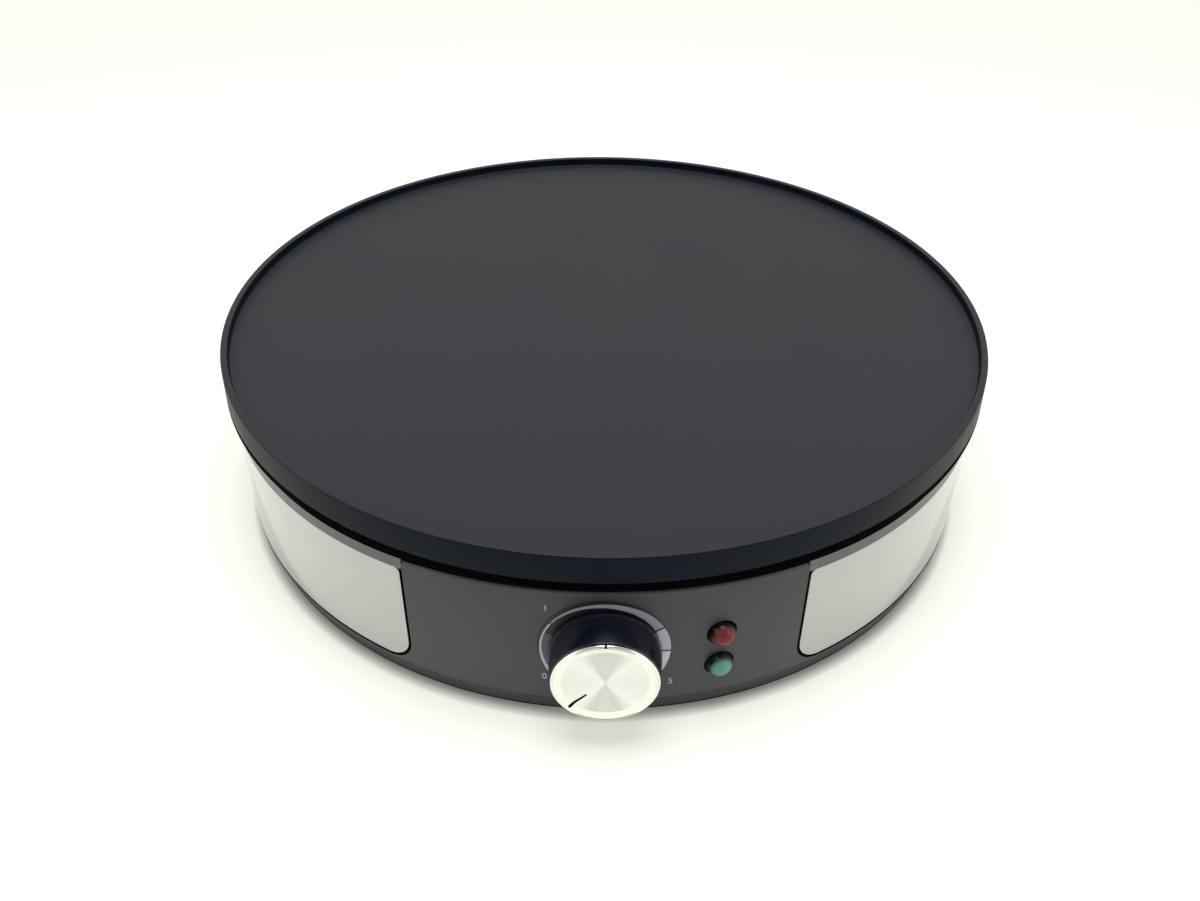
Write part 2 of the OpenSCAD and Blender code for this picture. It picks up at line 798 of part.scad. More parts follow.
module earth_tag() {
    color(brass) translate([earth_at[0], earth_at[1], pan_top_z]) difference() {
        union() {
            cylinder(r = earth_tag_r, h = tab_t);
            translate([-earth_tag_r / 2, -earth_tag_l, 0]) cube([earth_tag_r, earth_tag_l - 2, tab_t]);
        }
        hole(small_screw_r + screw_fit, tab_t);
    }
}

module earth_screw() {
    color(steel) translate([earth_at[0], earth_at[1], pan_top_z + tab_t]) rotate([180, 0, 0])
        screw(small_head_r, small_head_h, small_screw_r, tab_t + pan_t + earth_screw_spare);
}

/* Knob and thermostat */

// Round bar with a flat, along +Z
module d_bar(r, h) {
    difference() {
        cylinder(r = r, h = h);
        translate([-r - cut, r - flat_depth, -cut]) cube([2 * (r + cut), r, h + 2 * cut]);
    }
}

module knob_barrel() {
    slope = (knob_root_r - knob_face_r) / knob_reach;
    front_r = knob_root_r - slope * knob_l;
    web_z = knob_l - knob_web_t;
    edge = 0.4;
    rib_t = 1.4;
    rib_l = knob_root_r - hub_r - knob_skirt_t + 1.2;
    color(black) on_axis(knob_back) difference() {
        union() {
            rotate_extrude() polygon([[knob_root_r - knob_skirt_t, 0], [knob_root_r - edge, 0],
                [knob_root_r, edge], [front_r, knob_l], [0, knob_l], [0, web_z],
                [front_r - knob_skirt_t, web_z]]);
            cylinder(r = hub_r, h = web_z + 1);
            for (i = [0 : 3]) rotate([0, 0, 45 + 90 * i])
                translate([hub_r - 1, -rib_t / 2, 1.5]) cube([rib_l, rib_t, web_z]);
        }
        rotate([0, 0, off_angle]) translate([0, 0, -cut])
            d_bar(spindle_r + run_fit, spindle_front - knob_back + cut + 0.3);
        translate([0, 0, -cut]) tube(hub_r + cut, hub_r - clip_groove, cut + 4);
    }
}

module knob_cap() {
    bevel = 1;
    groove = 0.35;
    groove_r = knob_face_r - bevel - 0.2;
    tick = 0.6;
    color(steel) on_axis(cap_back) difference() {
        rotate_extrude() polygon([[0, 0], [knob_face_r, 0], [knob_face_r, knob_cap_t - bevel],
            [knob_face_r - bevel, knob_cap_t], [groove_r, knob_cap_t],
            [groove_r - groove, knob_cap_t - groove], [groove_r - 2 * groove, knob_cap_t], [0, knob_cap_t]]);
        rotate([0, 0, off_angle])
            translate([pointer_from - run_fit, -pointer_w / 2 - run_fit, knob_cap_t - pointer_depth])
                cube([pointer_l + 2 * run_fit, pointer_w + 2 * run_fit, cut]);
        rotate([0, 0, 90]) translate([groove_r - skin, -tick / 2, knob_cap_t - bevel]) cube([3, tick, 2]);
    }
}

module knob_pointer() {
    color(black) on_axis(cap_back) rotate([0, 0, off_angle])
        translate([pointer_from, -pointer_w / 2, knob_cap_t - pointer_depth])
            cube([pointer_l, pointer_w, pointer_t]);
}

module knob_clip() {
    color(zinc) on_axis(knob_back) difference() {
        tube(hub_r - run_fit, hub_r - clip_t, clip_h);
        rotate([0, 0, off_angle - 90]) translate([-1.5, 0, -cut]) cube([3, 2 * hub_r, clip_h + 2 * cut]);
    }
}

module control_spindle() {
    color(brass) on_axis(collar_back) difference() {
        union() {
            cylinder(r = collar_r, h = collar_l);
            cylinder(r = spindle_r, h = body_r + skin - collar_back);
            translate([0, 0, body_r - collar_back]) rotate([0, 0, off_angle])
                d_bar(spindle_r, spindle_front - body_r);
        }
        translate([0, 0, -cut]) cylinder(r = pin_r + run_fit, h = pin_bore_depth + cut);
    }
}

module adjusting_pin() {
    key_at = guide_back + 0.3;
    color(steel) {
        on_axis(pin_end) cylinder(r = pin_r, h = collar_back + pin_in - pin_end);
        on_axis(key_at) translate([-pin_key / 2, -pin_key / 2, 0]) cube([pin_key, pin_key, pin_key_l]);
    }
}

module thermostat_bushing() {
    color(brass) on_axis(0) difference() {
        union() {
            translate([0, 0, body_front - 1]) cylinder(r = bushing_r, h = bushing_front - body_front + 1);
            translate([0, 0, body_front]) cylinder(r = bushing_flange_r, h = flange_t);
        }
        cylinder(r = spindle_r + run_fit, h = body_r + 5);
    }
}

module thermostat_body() {
    guide_w = pin_key + 2 * run_fit;
    color(bakelite) difference() {
        translate([-thermo_w / 2, -body_front, knob_z - thermo_h / 2])
            cube([thermo_w, body_front - chamber_back, thermo_h]);
        on_axis(collar_back - 0.3) cylinder(r = collar_r + run_fit, h = collar_l + 0.6);
        on_axis(collar_front) cylinder(r = spindle_r + 0.3, h = 10);
        on_axis(body_front - 1) cylinder(r = bushing_r + run_fit, h = 5);
        on_axis(guide_back - cut) translate([-guide_w / 2, -guide_w / 2, 0])
            cube([guide_w, guide_w, guide_l + 1.5]);
        on_axis(chamber_back - cut) translate([-chamber_w / 2, -chamber_h / 2, 0])
            cube([chamber_w, chamber_h, chamber_l + cut]);
        for (side = [-1, 1])
            on_axis(body_front - 10) translate([side * thermo_screw_x, 0, 0])
                cylinder(r = thermo_screw_r + run_fit, h = 12);
    }
}

module thermostat_screws() {
    head_y = body_r - thermo_head_depth;
    color(steel) for (side = [-1, 1])
        on_axis(head_y) translate([side * thermo_screw_x, 0, 0]) rotate([180, 0, 0])
            screw(thermo_head_r, thermo_head_h, thermo_screw_r, head_y - body_front + thermo_screw_l);
}

module thermostat_leaf() {
    leaf_back = leaf_front - leaf_t;
    color(brass) {
        on_axis(leaf_back) translate([-leaf_end, -leaf_w / 2, 0])
            cube([leaf_end + contact_x + contact_r, leaf_w, leaf_t]);
        on_axis(leaf_back) translate([skin - chamber_w / 2, -leaf_w / 2, 0])
            cube([4, leaf_w, guide_back - skin - leaf_back]);
    }
}

module thermostat_contacts() {
    leaf_back = leaf_front - leaf_t;
    fixed = leaf_back - 1 - contact_gap;
    arm_x = contact_x - 3;
    color(zinc) {
        on_axis(leaf_back - 1) translate([contact_x, 0, 0]) cylinder(r = contact_r, h = 1);
        on_axis(fixed - 1.2) translate([contact_x, 0, 0]) cylinder(r = contact_r, h = 1.2);
        on_axis(fixed - 2) translate([arm_x, -leaf_w / 2, 0])
            cube([chamber_w / 2 - skin - arm_x, leaf_w, 0.8]);
    }
}

module thermostat_cover() {
    color(zinc) difference() {
        translate([-thermo_w / 2, -chamber_back, knob_z - thermo_h / 2]) cube([thermo_w, cover_t, thermo_h]);
        on_axis(chamber_back - 5) cylinder(r = capillary_r + 0.6, h = 10);
        for (side = [-1, 1])
            on_axis(chamber_back - 5) translate([side * tab_x - 3.5, -tab_drop - 0.8, 0]) cube([7, 1.6, 10]);
    }
}

module thermostat_tabs() {
    color(brass) for (side = [-1, 1])
        on_axis(chamber_back - tab_out) translate([side * tab_x - tab_w / 2, -tab_drop - tab_t / 2, 0])
            cube([tab_w, tab_t, tab_out + 6]);
}

module diaphragm_capsule() {
    color(zinc) on_axis(chamber_back + skin) {
        rotate_extrude() polygon([[1.1, 0], [6, 0], [8.4, 1.4], [8.4, 1.9], [6, 3.2], [1.1, 3.2]]);
        cylinder(r = 1.2, h = 3.6);
    }
}

// A point behind the thermostat, measured from the middle of its rear cover
function behind(x, y, z) = [x, y - chamber_back, knob_z + z];

// The capillary's way from the thermostat up through the reflector to the bulb
function capillary_hole() = [bulb_l / 2 + 16, bulb_y - 14];
function capillary_route() = let (h = capillary_hole()) [
    behind(0, wire_gap, 0), behind(0, 6, 0), behind(6, 16, 1), behind(22, 25, 4), behind(38, 28, 8),
    [h[0], h[1], reflector_z - 8], [h[0], h[1], reflector_z + 3],
    [h[0] - 2, bulb_y - 6, bulb_z - 2], [bulb_l / 2 + 8, bulb_y, bulb_z],
    [bulb_l / 2 + wire_gap, bulb_y, bulb_z]];

module capillary_tube() {
    color(brass) wire(smooth(capillary_route(), 5), capillary_r);
}

module sensor_bulb() {
    color(brass) translate([-bulb_l / 2, bulb_y, bulb_z]) rotate([0, 90, 0]) cylinder(r = bulb_r, h = bulb_l);
}

// Screw places of the bulb's and the fuse's clips: x, y and the height of the clip's underside
function clip_place(y, z, r) = [0, y + r + small_boss_r + clip_gap, z - r - run_fit];
function clip_places() = [clip_place(bulb_y, bulb_z, bulb_r), clip_place(fuse_y, fuse_z, fuse_r)];

// Flat clip that holds a round piece up against the plate by one screw
module clip(i, y) {
    p = clip_places()[i];
    l = p[1] - y + clip_back + small_boss_r;
    color(zinc) translate([0, 0, p[2] - spring_clip_t]) difference() {
        translate([-clip_w / 2, y - clip_back, 0]) cube([clip_w, l, spring_clip_t]);
        translate([0, p[1], 0]) hole(small_screw_r + screw_fit, spring_clip_t);
    }
}
module bulb_clip() { clip(0, bulb_y); }
module fuse_clip() { clip(1, fuse_y); }

module clip_screws() {
    color(steel) for (p = clip_places())
        translate([0, p[1], p[2] - spring_clip_t])
            screw(small_head_r, small_head_h, small_screw_r, spring_clip_t + clip_screw_l);
}

module thermal_fuse() {
    color([0.85, 0.84, 0.80]) translate([-fuse_l / 2, fuse_y, fuse_z]) rotate([0, 90, 0]) {
        cylinder(r = fuse_r, h = fuse_l);
        translate([0, 0, -fuse_lead_l]) cylinder(r = 0.6, h = fuse_l + 2 * fuse_lead_l);
    }
}

/* Dial and pilot lamps */

// Scale ring, wide at its hot end: a crescent between two circles, wrapped on the drum
module scale_outline(grow) {
    inner_shift = (scale_wide - scale_narrow) / 2;
    inner = scale_r - (scale_wide + scale_narrow) / 2;
    far = scale_r * 2;
    difference() {
        circle(r = scale_r + grow);
        translate([-inner_shift, 0]) circle(r = inner - grow);
        polygon(concat([[0, 0]], arc([0, 0], far, scale_to, scale_from + 360, 8)));
    }
}

module scale_body(r_in, r_out, grow) {
    intersection() {
        tube_between(r_in, r_out);
        on_axis(body_r - 6) linear_extrude(height = 12) scale_outline(grow);
    }
}

module tube_between(r_in, r_out) {
    translate([0, 0, knob_z - 30]) difference() {
        cylinder(r = r_out, h = 60, $fn = big_fn);
        translate([0, 0, -1]) cylinder(r = r_in, h = 62, $fn = big_fn);
    }
}

module dial_scale() {
    color([0.62, 0.64, 0.68]) difference() {
        scale_body(body_r - scale_t + 0.02, body_r + scale_proud, 0);
        for (a = scale_breaks)
            on_axis(body_r - 6) rotate([0, 0, a]) translate([scale_r - scale_wide - 4, -scale_break_w / 2, 0])
                cube([scale_wide + 6, scale_break_w, 12]);
    }
}

module lens(z, tint) {
    ball = (lens_r * lens_r + lens_reach * lens_reach) / (2 * lens_reach);
    color(tint) outward(lamp_az, body_r + 0.1, z) difference() {
        union() {
            intersection() {
                translate([0, 0, lens_reach - ball]) sphere(r = ball);
                cylinder(r = lens_r + 1, h = lens_reach + 1);
            }
            translate([0, 0, -lamp_stem_l]) cylinder(r = lamp_stem_r, h = lamp_stem_l + 0.5);
        }
        translate([0, 0, -lamp_stem_l - 1]) cylinder(r = lamp_bore_r, h = lamp_stem_l);
    }
}
module red_lamp_lens() { lens(lamps_z[0], [0.62, 0.16, 0.13]); }
module green_lamp_lens() { lens(lamps_z[1], [0.30, 0.62, 0.50]); }

module lamp_bulbs() {
    color([0.95, 0.75, 0.55]) for (z = lamps_z)
        outward(lamp_az, body_r - lamp_stem_l + 1.5, z) {
            cylinder(r = lamp_bore_r - 0.2, h = 8);
            for (x = [-1, 1]) translate([x, 0, -5]) cylinder(r = 0.35, h = 6);
        }
}

module lamp_push_nuts() {
    color(zinc) for (z = lamps_z)
        outward(lamp_az, inner_r - 1, z) tube(lamp_stem_r + 2.4, lamp_stem_r + run_fit, 0.8);
}

/* Wires */

function tab_end(side) = [side * tab_x, wire_gap - chamber_back + tab_out, knob_z - tab_drop];
function element_tab_end(side) =
    let (a = 90 + side * element_gap_angle / 2)
    [element_ring_r * cos(a) + side * elbow_r * sin(a), element_ring_r * sin(a) - side * elbow_r * cos(a),
        element_z - elbow_r - leg_drop - tab_below - wire_gap];
function block_end(pole, side) =
    [block_at[0] + pole * block_pitch, block_at[1] + side * (block_size[1] / 2 - 2), pan_top_z + 6];

module live_wire() {
    a = block_end(-1, -1);
    b = tab_end(-1);
    color([0.45, 0.27, 0.16])
        wire(smooth([a, a + [0, -12, 0], a + [-19, -47, 2], a + [-23, -107, 0], b + [-38, 34, -10],
            b + [-4, 20, -4], b + [0, 8, 0], b]), wire_r);
}

// From below the reflector up to a lead of the fuse: side -1 is the thermostat's, 1 the heater's
function fuse_lead(side) = [
    [side * fuse_hole_x, fuse_y, reflector_z - 10], [side * fuse_hole_x, fuse_y, reflector_z + 1],
    [side * (fuse_hole_x - 2), fuse_y, fuse_z - 3.5], [side * (fuse_hole_x - 6), fuse_y, fuse_z],
    [side * (fuse_l / 2 + fuse_lead_l + wire_gap), fuse_y, fuse_z]];
function backwards(p) = [for (i = [len(p) - 1 : -1 : 0]) p[i]];

module switched_wire() {
    a = tab_end(1);
    color([0.85, 0.85, 0.82])
        wire(smooth(concat([a, a + [0, 8, 0], a + [12, 30, -5], a + [14, 84, -3],
            [0, fuse_y - 24, reflector_z - 22]], fuse_lead(-1))), lead_r);
}

module fused_wire() {
    b = element_tab_end(-1);
    color([0.85, 0.85, 0.82])
        wire(smooth(concat(backwards(fuse_lead(1)), [[fuse_hole_x - 2, fuse_y + 16, reflector_z - 26],
            b + [2, -22, -11], b + [0, -2, -7], b])), lead_r);
}

module neutral_wire() {
    a = block_end(0, -1);
    b = element_tab_end(1);
    color([0.20, 0.35, 0.62]) wire(smooth([a, a + [0, -10, 0], a + [10, -22, 2], [b[0] - 2, b[1] - 14, 15],
        b + [0, -2, -7], b]), wire_r);
}

module earth_wire() {
    a = block_end(1, -1);
    b = [earth_at[0], earth_at[1] - 14, pan_top_z + 2.2];
    color([0.55, 0.65, 0.20])
        wire(smooth([a, a + [0, -8, 0], a + [12, -16, -3], b + [-10, -8, 1], b + [0, -6, 0], b]), wire_r);
}

// One lead for each pilot lamp, to the thermostat's two tabs
module lamp_wires() {
    r = body_r - lamp_stem_l - 4;
    routes = [
        [behind(30, 7.4, 1.3), behind(20, 15.4, -1.7), behind(11, 16.4, -3.7), tab_end(1) + [0, 1, 2.6]],
        [behind(29, 8.4, -14.7), behind(12, 16.4, -16.2), behind(-5, 17.4, -13.7), behind(-10, 15.9, -10.1),
            tab_end(-1) + [0, 1, -2.6]]];
    color([0.75, 0.35, 0.30]) for (i = [0, 1]) {
        lead = [r * sin(lamp_az), -r * cos(lamp_az), lamps_z[i]];
        wire(smooth(concat([lead, lead + [0, 8, -1]], routes[i])), lamp_lead_r);
    }
}

hotplate();
heating_element();
element_bushings();
element_tabs();
element_clamps();
clamp_screws();
heat_reflector();
plate_spacers();
plate_screws();
housing();
left_side_panel();
right_side_panel();
panel_nuts();
base_pan();
base_screws();
foot_front_left();
foot_front_right();
foot_rear_left();
foot_rear_right();
foot_screws();
foot_nuts();
cord_gland();
gland_nut();
terminal_block();
terminal_screws();
earth_tag();
earth_screw();
knob_barrel();
knob_cap();
knob_pointer();
knob_clip();
control_spindle();
adjusting_pin();
thermostat_bushing();
thermostat_body();
thermostat_screws();
thermostat_leaf();
thermostat_contacts();
thermostat_cover();
thermostat_tabs();
diaphragm_capsule();
capillary_tube();
sensor_bulb();
bulb_clip();
thermal_fuse();
fuse_clip();
clip_screws();
dial_scale();
red_lamp_lens();
green_lamp_lens();
lamp_bulbs();
lamp_push_nuts();
live_wire();
switched_wire();
fused_wire();
neutral_wire();
earth_wire();
lamp_wires();
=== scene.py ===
# %% [markdown]
# # An electric crepe maker
# The real thing is a flat cast plate, 30 cm across, on a moulded drum with two stainless side panels, a
# control knob and two pilot lamps. A CAD model of it is loaded as a fixed frame. The outer skin could be that
# model with better paint, but its edges are all sharp, and it is soft edges that catch the light. So the skin
# is modelled again here, and what is hidden inside stays CAD.

# %% Load the fixed frame
import json
import math
import bpy
import bmesh
from mathutils import Matrix, Vector

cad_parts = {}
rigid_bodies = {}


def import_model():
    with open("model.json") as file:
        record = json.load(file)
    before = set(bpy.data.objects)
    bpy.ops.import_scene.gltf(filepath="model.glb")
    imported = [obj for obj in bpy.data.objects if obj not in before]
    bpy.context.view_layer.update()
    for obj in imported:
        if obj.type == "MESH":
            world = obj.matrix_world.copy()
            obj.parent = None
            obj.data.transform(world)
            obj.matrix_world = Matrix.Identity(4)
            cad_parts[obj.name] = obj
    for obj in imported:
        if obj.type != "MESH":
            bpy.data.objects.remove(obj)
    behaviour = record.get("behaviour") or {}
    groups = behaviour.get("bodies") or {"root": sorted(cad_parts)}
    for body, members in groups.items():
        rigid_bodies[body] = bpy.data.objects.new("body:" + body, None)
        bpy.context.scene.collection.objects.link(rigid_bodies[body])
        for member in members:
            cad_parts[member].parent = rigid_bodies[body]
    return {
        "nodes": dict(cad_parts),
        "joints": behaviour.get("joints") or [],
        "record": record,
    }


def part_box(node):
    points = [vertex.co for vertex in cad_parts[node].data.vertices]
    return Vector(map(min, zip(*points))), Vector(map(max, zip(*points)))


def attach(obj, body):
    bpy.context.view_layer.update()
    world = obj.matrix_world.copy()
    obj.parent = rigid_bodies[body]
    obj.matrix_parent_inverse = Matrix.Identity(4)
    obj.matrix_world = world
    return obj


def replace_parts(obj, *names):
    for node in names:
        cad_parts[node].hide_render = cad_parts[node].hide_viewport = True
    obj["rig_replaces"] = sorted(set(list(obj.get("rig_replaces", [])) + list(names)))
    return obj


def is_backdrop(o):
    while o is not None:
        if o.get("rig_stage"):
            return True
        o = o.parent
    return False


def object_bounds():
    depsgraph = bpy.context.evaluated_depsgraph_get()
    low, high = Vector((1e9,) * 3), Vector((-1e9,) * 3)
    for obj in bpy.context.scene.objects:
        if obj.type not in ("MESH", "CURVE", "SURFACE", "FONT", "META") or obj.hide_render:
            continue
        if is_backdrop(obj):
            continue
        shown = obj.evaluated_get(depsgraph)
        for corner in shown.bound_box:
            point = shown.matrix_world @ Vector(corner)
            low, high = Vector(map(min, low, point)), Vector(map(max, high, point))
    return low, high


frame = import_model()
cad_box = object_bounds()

MM = 0.001

# %% [markdown]
# ## Camera
# A product picture is taken from a little above the front, close enough for the plate to look wider in front
# than at the back. The camera could be aimed with a constraint at an empty. Three angles are plainer: how far
# it looks down, how far it is turned to the right, and how far it is tilted.

# %% The camera
CAMERA_AT = Vector((-4.1, -394.7, 302.4)) * MM
CAMERA_DOWN = math.radians(37.40)
CAMERA_RIGHT = math.radians(0.42)
CAMERA_TILT = math.radians(0.60)
FOCAL_LENGTH = 33.495
SENSOR_WIDTH = 36

scene = bpy.context.scene


def add_object(name, data):
    """Puts a new object in the scene."""
    made = bpy.data.objects.new(name, data)
    scene.collection.objects.link(made)
    return made


camera_data = bpy.data.cameras.new("camera")
camera_data.sensor_fit = "HORIZONTAL"
camera_data.sensor_width = SENSOR_WIDTH
camera_data.lens = FOCAL_LENGTH
camera_data.clip_start = 0.01
camera = add_object("camera", camera_data)
camera.matrix_world = (Matrix.Translation(CAMERA_AT)
                       @ Matrix.Rotation(-CAMERA_RIGHT, 4, "Z")
                       @ Matrix.Rotation(math.pi / 2 - CAMERA_DOWN, 4, "X")
                       @ Matrix.Rotation(CAMERA_TILT, 4, "Z"))
scene.camera = camera
scene.view_settings.view_transform = "Standard"
print("camera looks down by", round(math.degrees(CAMERA_DOWN), 1), "degrees")

# %% [markdown]
# ## Nodes and colours
# Every finish below is a small tree of shader nodes. Writing `nodes.new` and `links.new` for each buries the
# idea, so one function adds a node with its settings, and takes a value or another node's output for each
# input. Colours are written as sRGB hex, as a paint chart gives them, and turned to linear.

# %% One function to add a node, one to turn a colour to linear
def add(tree, kind, inputs=None, **settings):
    """Adds a shader node. An input is given a value, or is linked where it is given a socket."""
    node = tree.nodes.new("ShaderNode" + kind)
    for name, value in settings.items():
        setattr(node, name, value)
    for name, value in (inputs or {}).items():
        if isinstance(value, bpy.types.NodeSocket):
            tree.links.new(value, node.inputs[name])
        else:
            node.inputs[name].default_value = value
    return node


def linear(colour):
    """An sRGB hex colour as the linear RGBA that a socket holds."""
    shares = [int(colour[i:i + 2], 16) / 255 for i in (1, 3, 5)]
    return [s / 12.92 if s <= 0.04045 else ((s + 0.055) / 1.055) ** 2.4 for s in shares] + [1]


print("mid grey is", round(linear("#808080")[0], 3), "in linear light")

# %% [markdown]
# ## Studio
# The object stands on a pale table in an even white room. A room bright enough to look white would light a
# white object past white, so it is two things at once: a plain light for what it shines on, and a white
# backdrop for the camera, for reflections and for glass. The Light Path node tells them apart. The backdrop
# fades to grey at the front, where a studio keeps its lamps: shiny metal needs that contrast to look like
# metal. The floor's own light, too, only lifts it to white where the camera or a mirror looks at it, so the
# soft shadow stays. It fades within a few millimetres of the object, as light does in the crevice under an
# edge, which sets the object on the table.

# %% Room, floor and lamps
BACKDROP = linear("#FFFFF3")
ROOM_LIGHT = 0.36
FLOOR_GLOW = 0.48
FRONT_OF_ROOM = 0.36
FADE_FROM, FADE_TO = -0.7, 0.2
FLOOR_HALF = 6
FLOOR_PAINT = linear("#DEDCD6")
CREVICE = 5 * MM
CREVICE_DEPTH = 4


def looked_at(tree):
    """1 on rays from the camera, a reflection or glass, and 0 on rays that carry light to a surface."""
    path = add(tree, "LightPath")
    seen = add(tree, "Math", {0: path.outputs["Is Camera Ray"], 1: path.outputs["Is Glossy Ray"]},
               operation="MAXIMUM")
    return add(tree, "Math", {0: seen.outputs[0], 1: path.outputs["Is Transmission Ray"]},
               operation="MAXIMUM").outputs[0]


room = bpy.data.worlds.new("room")
room.use_nodes = True
tree = room.node_tree
tree.nodes.clear()
light = add(tree, "Background", {"Color": (1, 1, 1, 1), "Strength": ROOM_LIGHT})
along = add(tree, "SeparateXYZ", {0: add(tree, "TexCoord").outputs["Generated"]}).outputs[1]
grey = add(tree, "MapRange", {"Value": along, 1: FADE_FROM, 2: FADE_TO, 3: FRONT_OF_ROOM, 4: 1}).outputs[0]
backdrop = add(tree, "Background", {"Color": BACKDROP, "Strength": grey})
either = add(tree, "MixShader", {0: looked_at(tree), 1: light.outputs[0], 2: backdrop.outputs[0]})
add(tree, "OutputWorld", {"Surface": either.outputs[0]})
scene.world = room

table_paint = bpy.data.materials.new("white_table_paint")
table_paint.use_nodes = True
tree = table_paint.node_tree
tree.nodes.clear()
paint = add(tree, "BsdfDiffuse", {"Color": FLOOR_PAINT})
open_sky = add(tree, "AmbientOcclusion", {"Distance": CREVICE}).outputs["AO"]
fade = add(tree, "Math", {0: open_sky, 1: CREVICE_DEPTH}, operation="POWER").outputs[0]
lift = add(tree, "Math", {0: looked_at(tree), 1: FLOOR_GLOW}, operation="MULTIPLY").outputs[0]
strength = add(tree, "Math", {0: lift, 1: fade}, operation="MULTIPLY").outputs[0]
glow = add(tree, "Emission", {"Color": BACKDROP, "Strength": strength})
both = add(tree, "AddShader", {0: paint.outputs[0], 1: glow.outputs[0]})
add(tree, "OutputMaterial", {"Surface": both.outputs[0]})


def mesh_from(name, bm):
    """Turns a bmesh into a mesh, and frees it."""
    mesh = bpy.data.meshes.new(name)
    bm.to_mesh(mesh)
    bm.free()
    return mesh


square = bmesh.new()
bmesh.ops.create_grid(square, x_segments=1, y_segments=1, size=FLOOR_HALF)
floor = add_object("floor", mesh_from("floor", square))
floor.data.materials.append(table_paint)
floor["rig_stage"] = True

SOFTBOX_SIDE = 0.9
SOFTBOXES = {"softbox_above": ((0, -0.1, 1.5), (0, 0, 0), 12.5),
             "softbox_left": ((-1.3, -0.7, 0.5), (0, 0, 0.03), 4),
             "softbox_right": ((1.3, -0.7, 0.5), (0, 0, 0.03), 4)}
for name, (place, aim, watts) in SOFTBOXES.items():
    lamp_data = bpy.data.lights.new(name, "AREA")
    lamp_data.size = SOFTBOX_SIDE
    lamp_data.energy = watts
    lamp = add_object(name, lamp_data)
    facing = (Vector(aim) - Vector(place)).to_track_quat("-Z", "Y").to_matrix().to_4x4()
    lamp.matrix_world = Matrix.Translation(place) @ facing
    print(name, "gives", watts, "W")

# %% [markdown]
# ## Sizes
# A dimension that two pieces share should come from one place. The outer sizes and the control axis are
# measured on the frame, and the rest are what a maker would write on the drawing, in metres.

# %% Sizes from the frame
plate_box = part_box("hotplate")
body_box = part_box("housing")
plate_foot_r = plate_box[1].x
plate_top_z = plate_box[1].z
body_r = body_box[1].x
body_top_z = body_box[1].z
dial_joint = [joint for joint in frame["joints"] if joint["name"] == "dial_turn"][0]
axis_z = dial_joint["pos_m"][2]

WALL_T = 4 * MM
PANEL_T = 0.9 * MM
inner_r = body_r - WALL_T
print("plate", round(2000 * plate_foot_r, 1), "mm across, body", round(2000 * body_r, 1), "mm, axis at z",
      round(1000 * axis_z, 1), "mm")

# %% [markdown]
# ## Finishes
# Most of this product's surfaces have three things in common: two close tones that drift into each other over
# some distance, a fine grain that breaks the highlight, and a roughness that isn't quite even. They could be
# painted as images. Noise in real sizes needs no image and no unwrapping, and one function can make them all:
# patch is the width of a tone, grain the width of a grain and depth its height.

# %% A finish of two tones, a grain and a roughness
def new_material(name):
    """A material without nodes yet, and the Object coordinates that its patterns read."""
    material = bpy.data.materials.new(name)
    material.use_nodes = True
    tree = material.node_tree
    tree.nodes.clear()
    return material, tree, add(tree, "TexCoord").outputs["Object"]


NOISE_FROM, NOISE_TO = 0.3, 0.7


def noise(tree, coords, size, stretch=(1, 1, 1), detail=2):
    """Noise from 0 to 1 whose features are about as wide as size, in metres, and longer by a stretch."""
    place = add(tree, "Mapping", {"Vector": coords, "Scale": [1 / s for s in stretch]}).outputs[0]
    texture = add(tree, "TexNoise", {"Vector": place, "Scale": 1 / size, "Detail": detail})
    return add(tree, "MapRange", {"Value": texture.outputs[0], 1: NOISE_FROM, 2: NOISE_TO}).outputs[0]


def surface(tree, share, colours, roughness, height, depth, **sockets):
    """The shader and the output: where share goes from 0 to 1, the colour and the roughness go from the first
    of their two to the second. Height, from 0 to 1, is embossed as deep as depth, in metres."""
    tone = add(tree, "Mix", {0: share, 6: colours[0], 7: colours[1]}, data_type="RGBA")
    rough = add(tree, "MapRange", {"Value": share, 3: roughness[0], 4: roughness[1]})
    bump = add(tree, "Bump", {"Height": height, "Strength": 1, "Distance": depth})
    shader = add(tree, "BsdfPrincipled", {"Base Color": tone.outputs[2], "Roughness": rough.outputs[0],
                                          "Normal": bump.outputs[0]})
    for socket, value in sockets.items():
        shader.inputs[socket.replace("_", " ")].default_value = value
    add(tree, "OutputMaterial", {"Surface": shader.outputs[0]})


def finish(name, dark, light, roughness, patch, grain, depth, stretch=(1, 1, 1), **sockets):
    """Two close tones in patches, a grain, and a roughness that drifts with the patches. Patch, grain and
    depth are in millimetres."""
    material, tree, coords = new_material(name)
    surface(tree, noise(tree, coords, patch * MM), (linear(dark), linear(light)), roughness,
            noise(tree, coords, grain * MM, stretch), depth * MM, **sockets)
    return material


# %% [markdown]
# ## Turned shapes
# Plate, body, knob, lenses, gland and feet are all round. A primitive cylinder has only sharp edges. Drawing
# half of the section as a few corners, rounding each with a vertex bevel and spinning the line works as a
# lathe does, and the edge radii stay real numbers. A corner is (radius, height, round).

# %% Spin a section
FULL = 2 * math.pi
QUARTER = math.pi / 2
CORNER_SEGMENTS = 6
SAME_PLACE = 1e-7


def ease(bm, parts, radius, segments, affect="VERTICES"):
    """Rounds corners of an outline (VERTICES) or edges of a solid (EDGES)."""
    bmesh.ops.bevel(bm, geom=parts, offset=radius, offset_type="OFFSET", segments=segments, profile=0.5,
                    affect=affect, clamp_overlap=True, material=-1)


def face_outwards(bm):
    """Turns a solid's faces outwards. On a thin bent shell the operator alone can turn them all inwards."""
    bmesh.ops.recalc_face_normals(bm, faces=bm.faces)
    if bm.calc_volume(signed=True) < 0:
        bmesh.ops.reverse_faces(bm, faces=bm.faces)


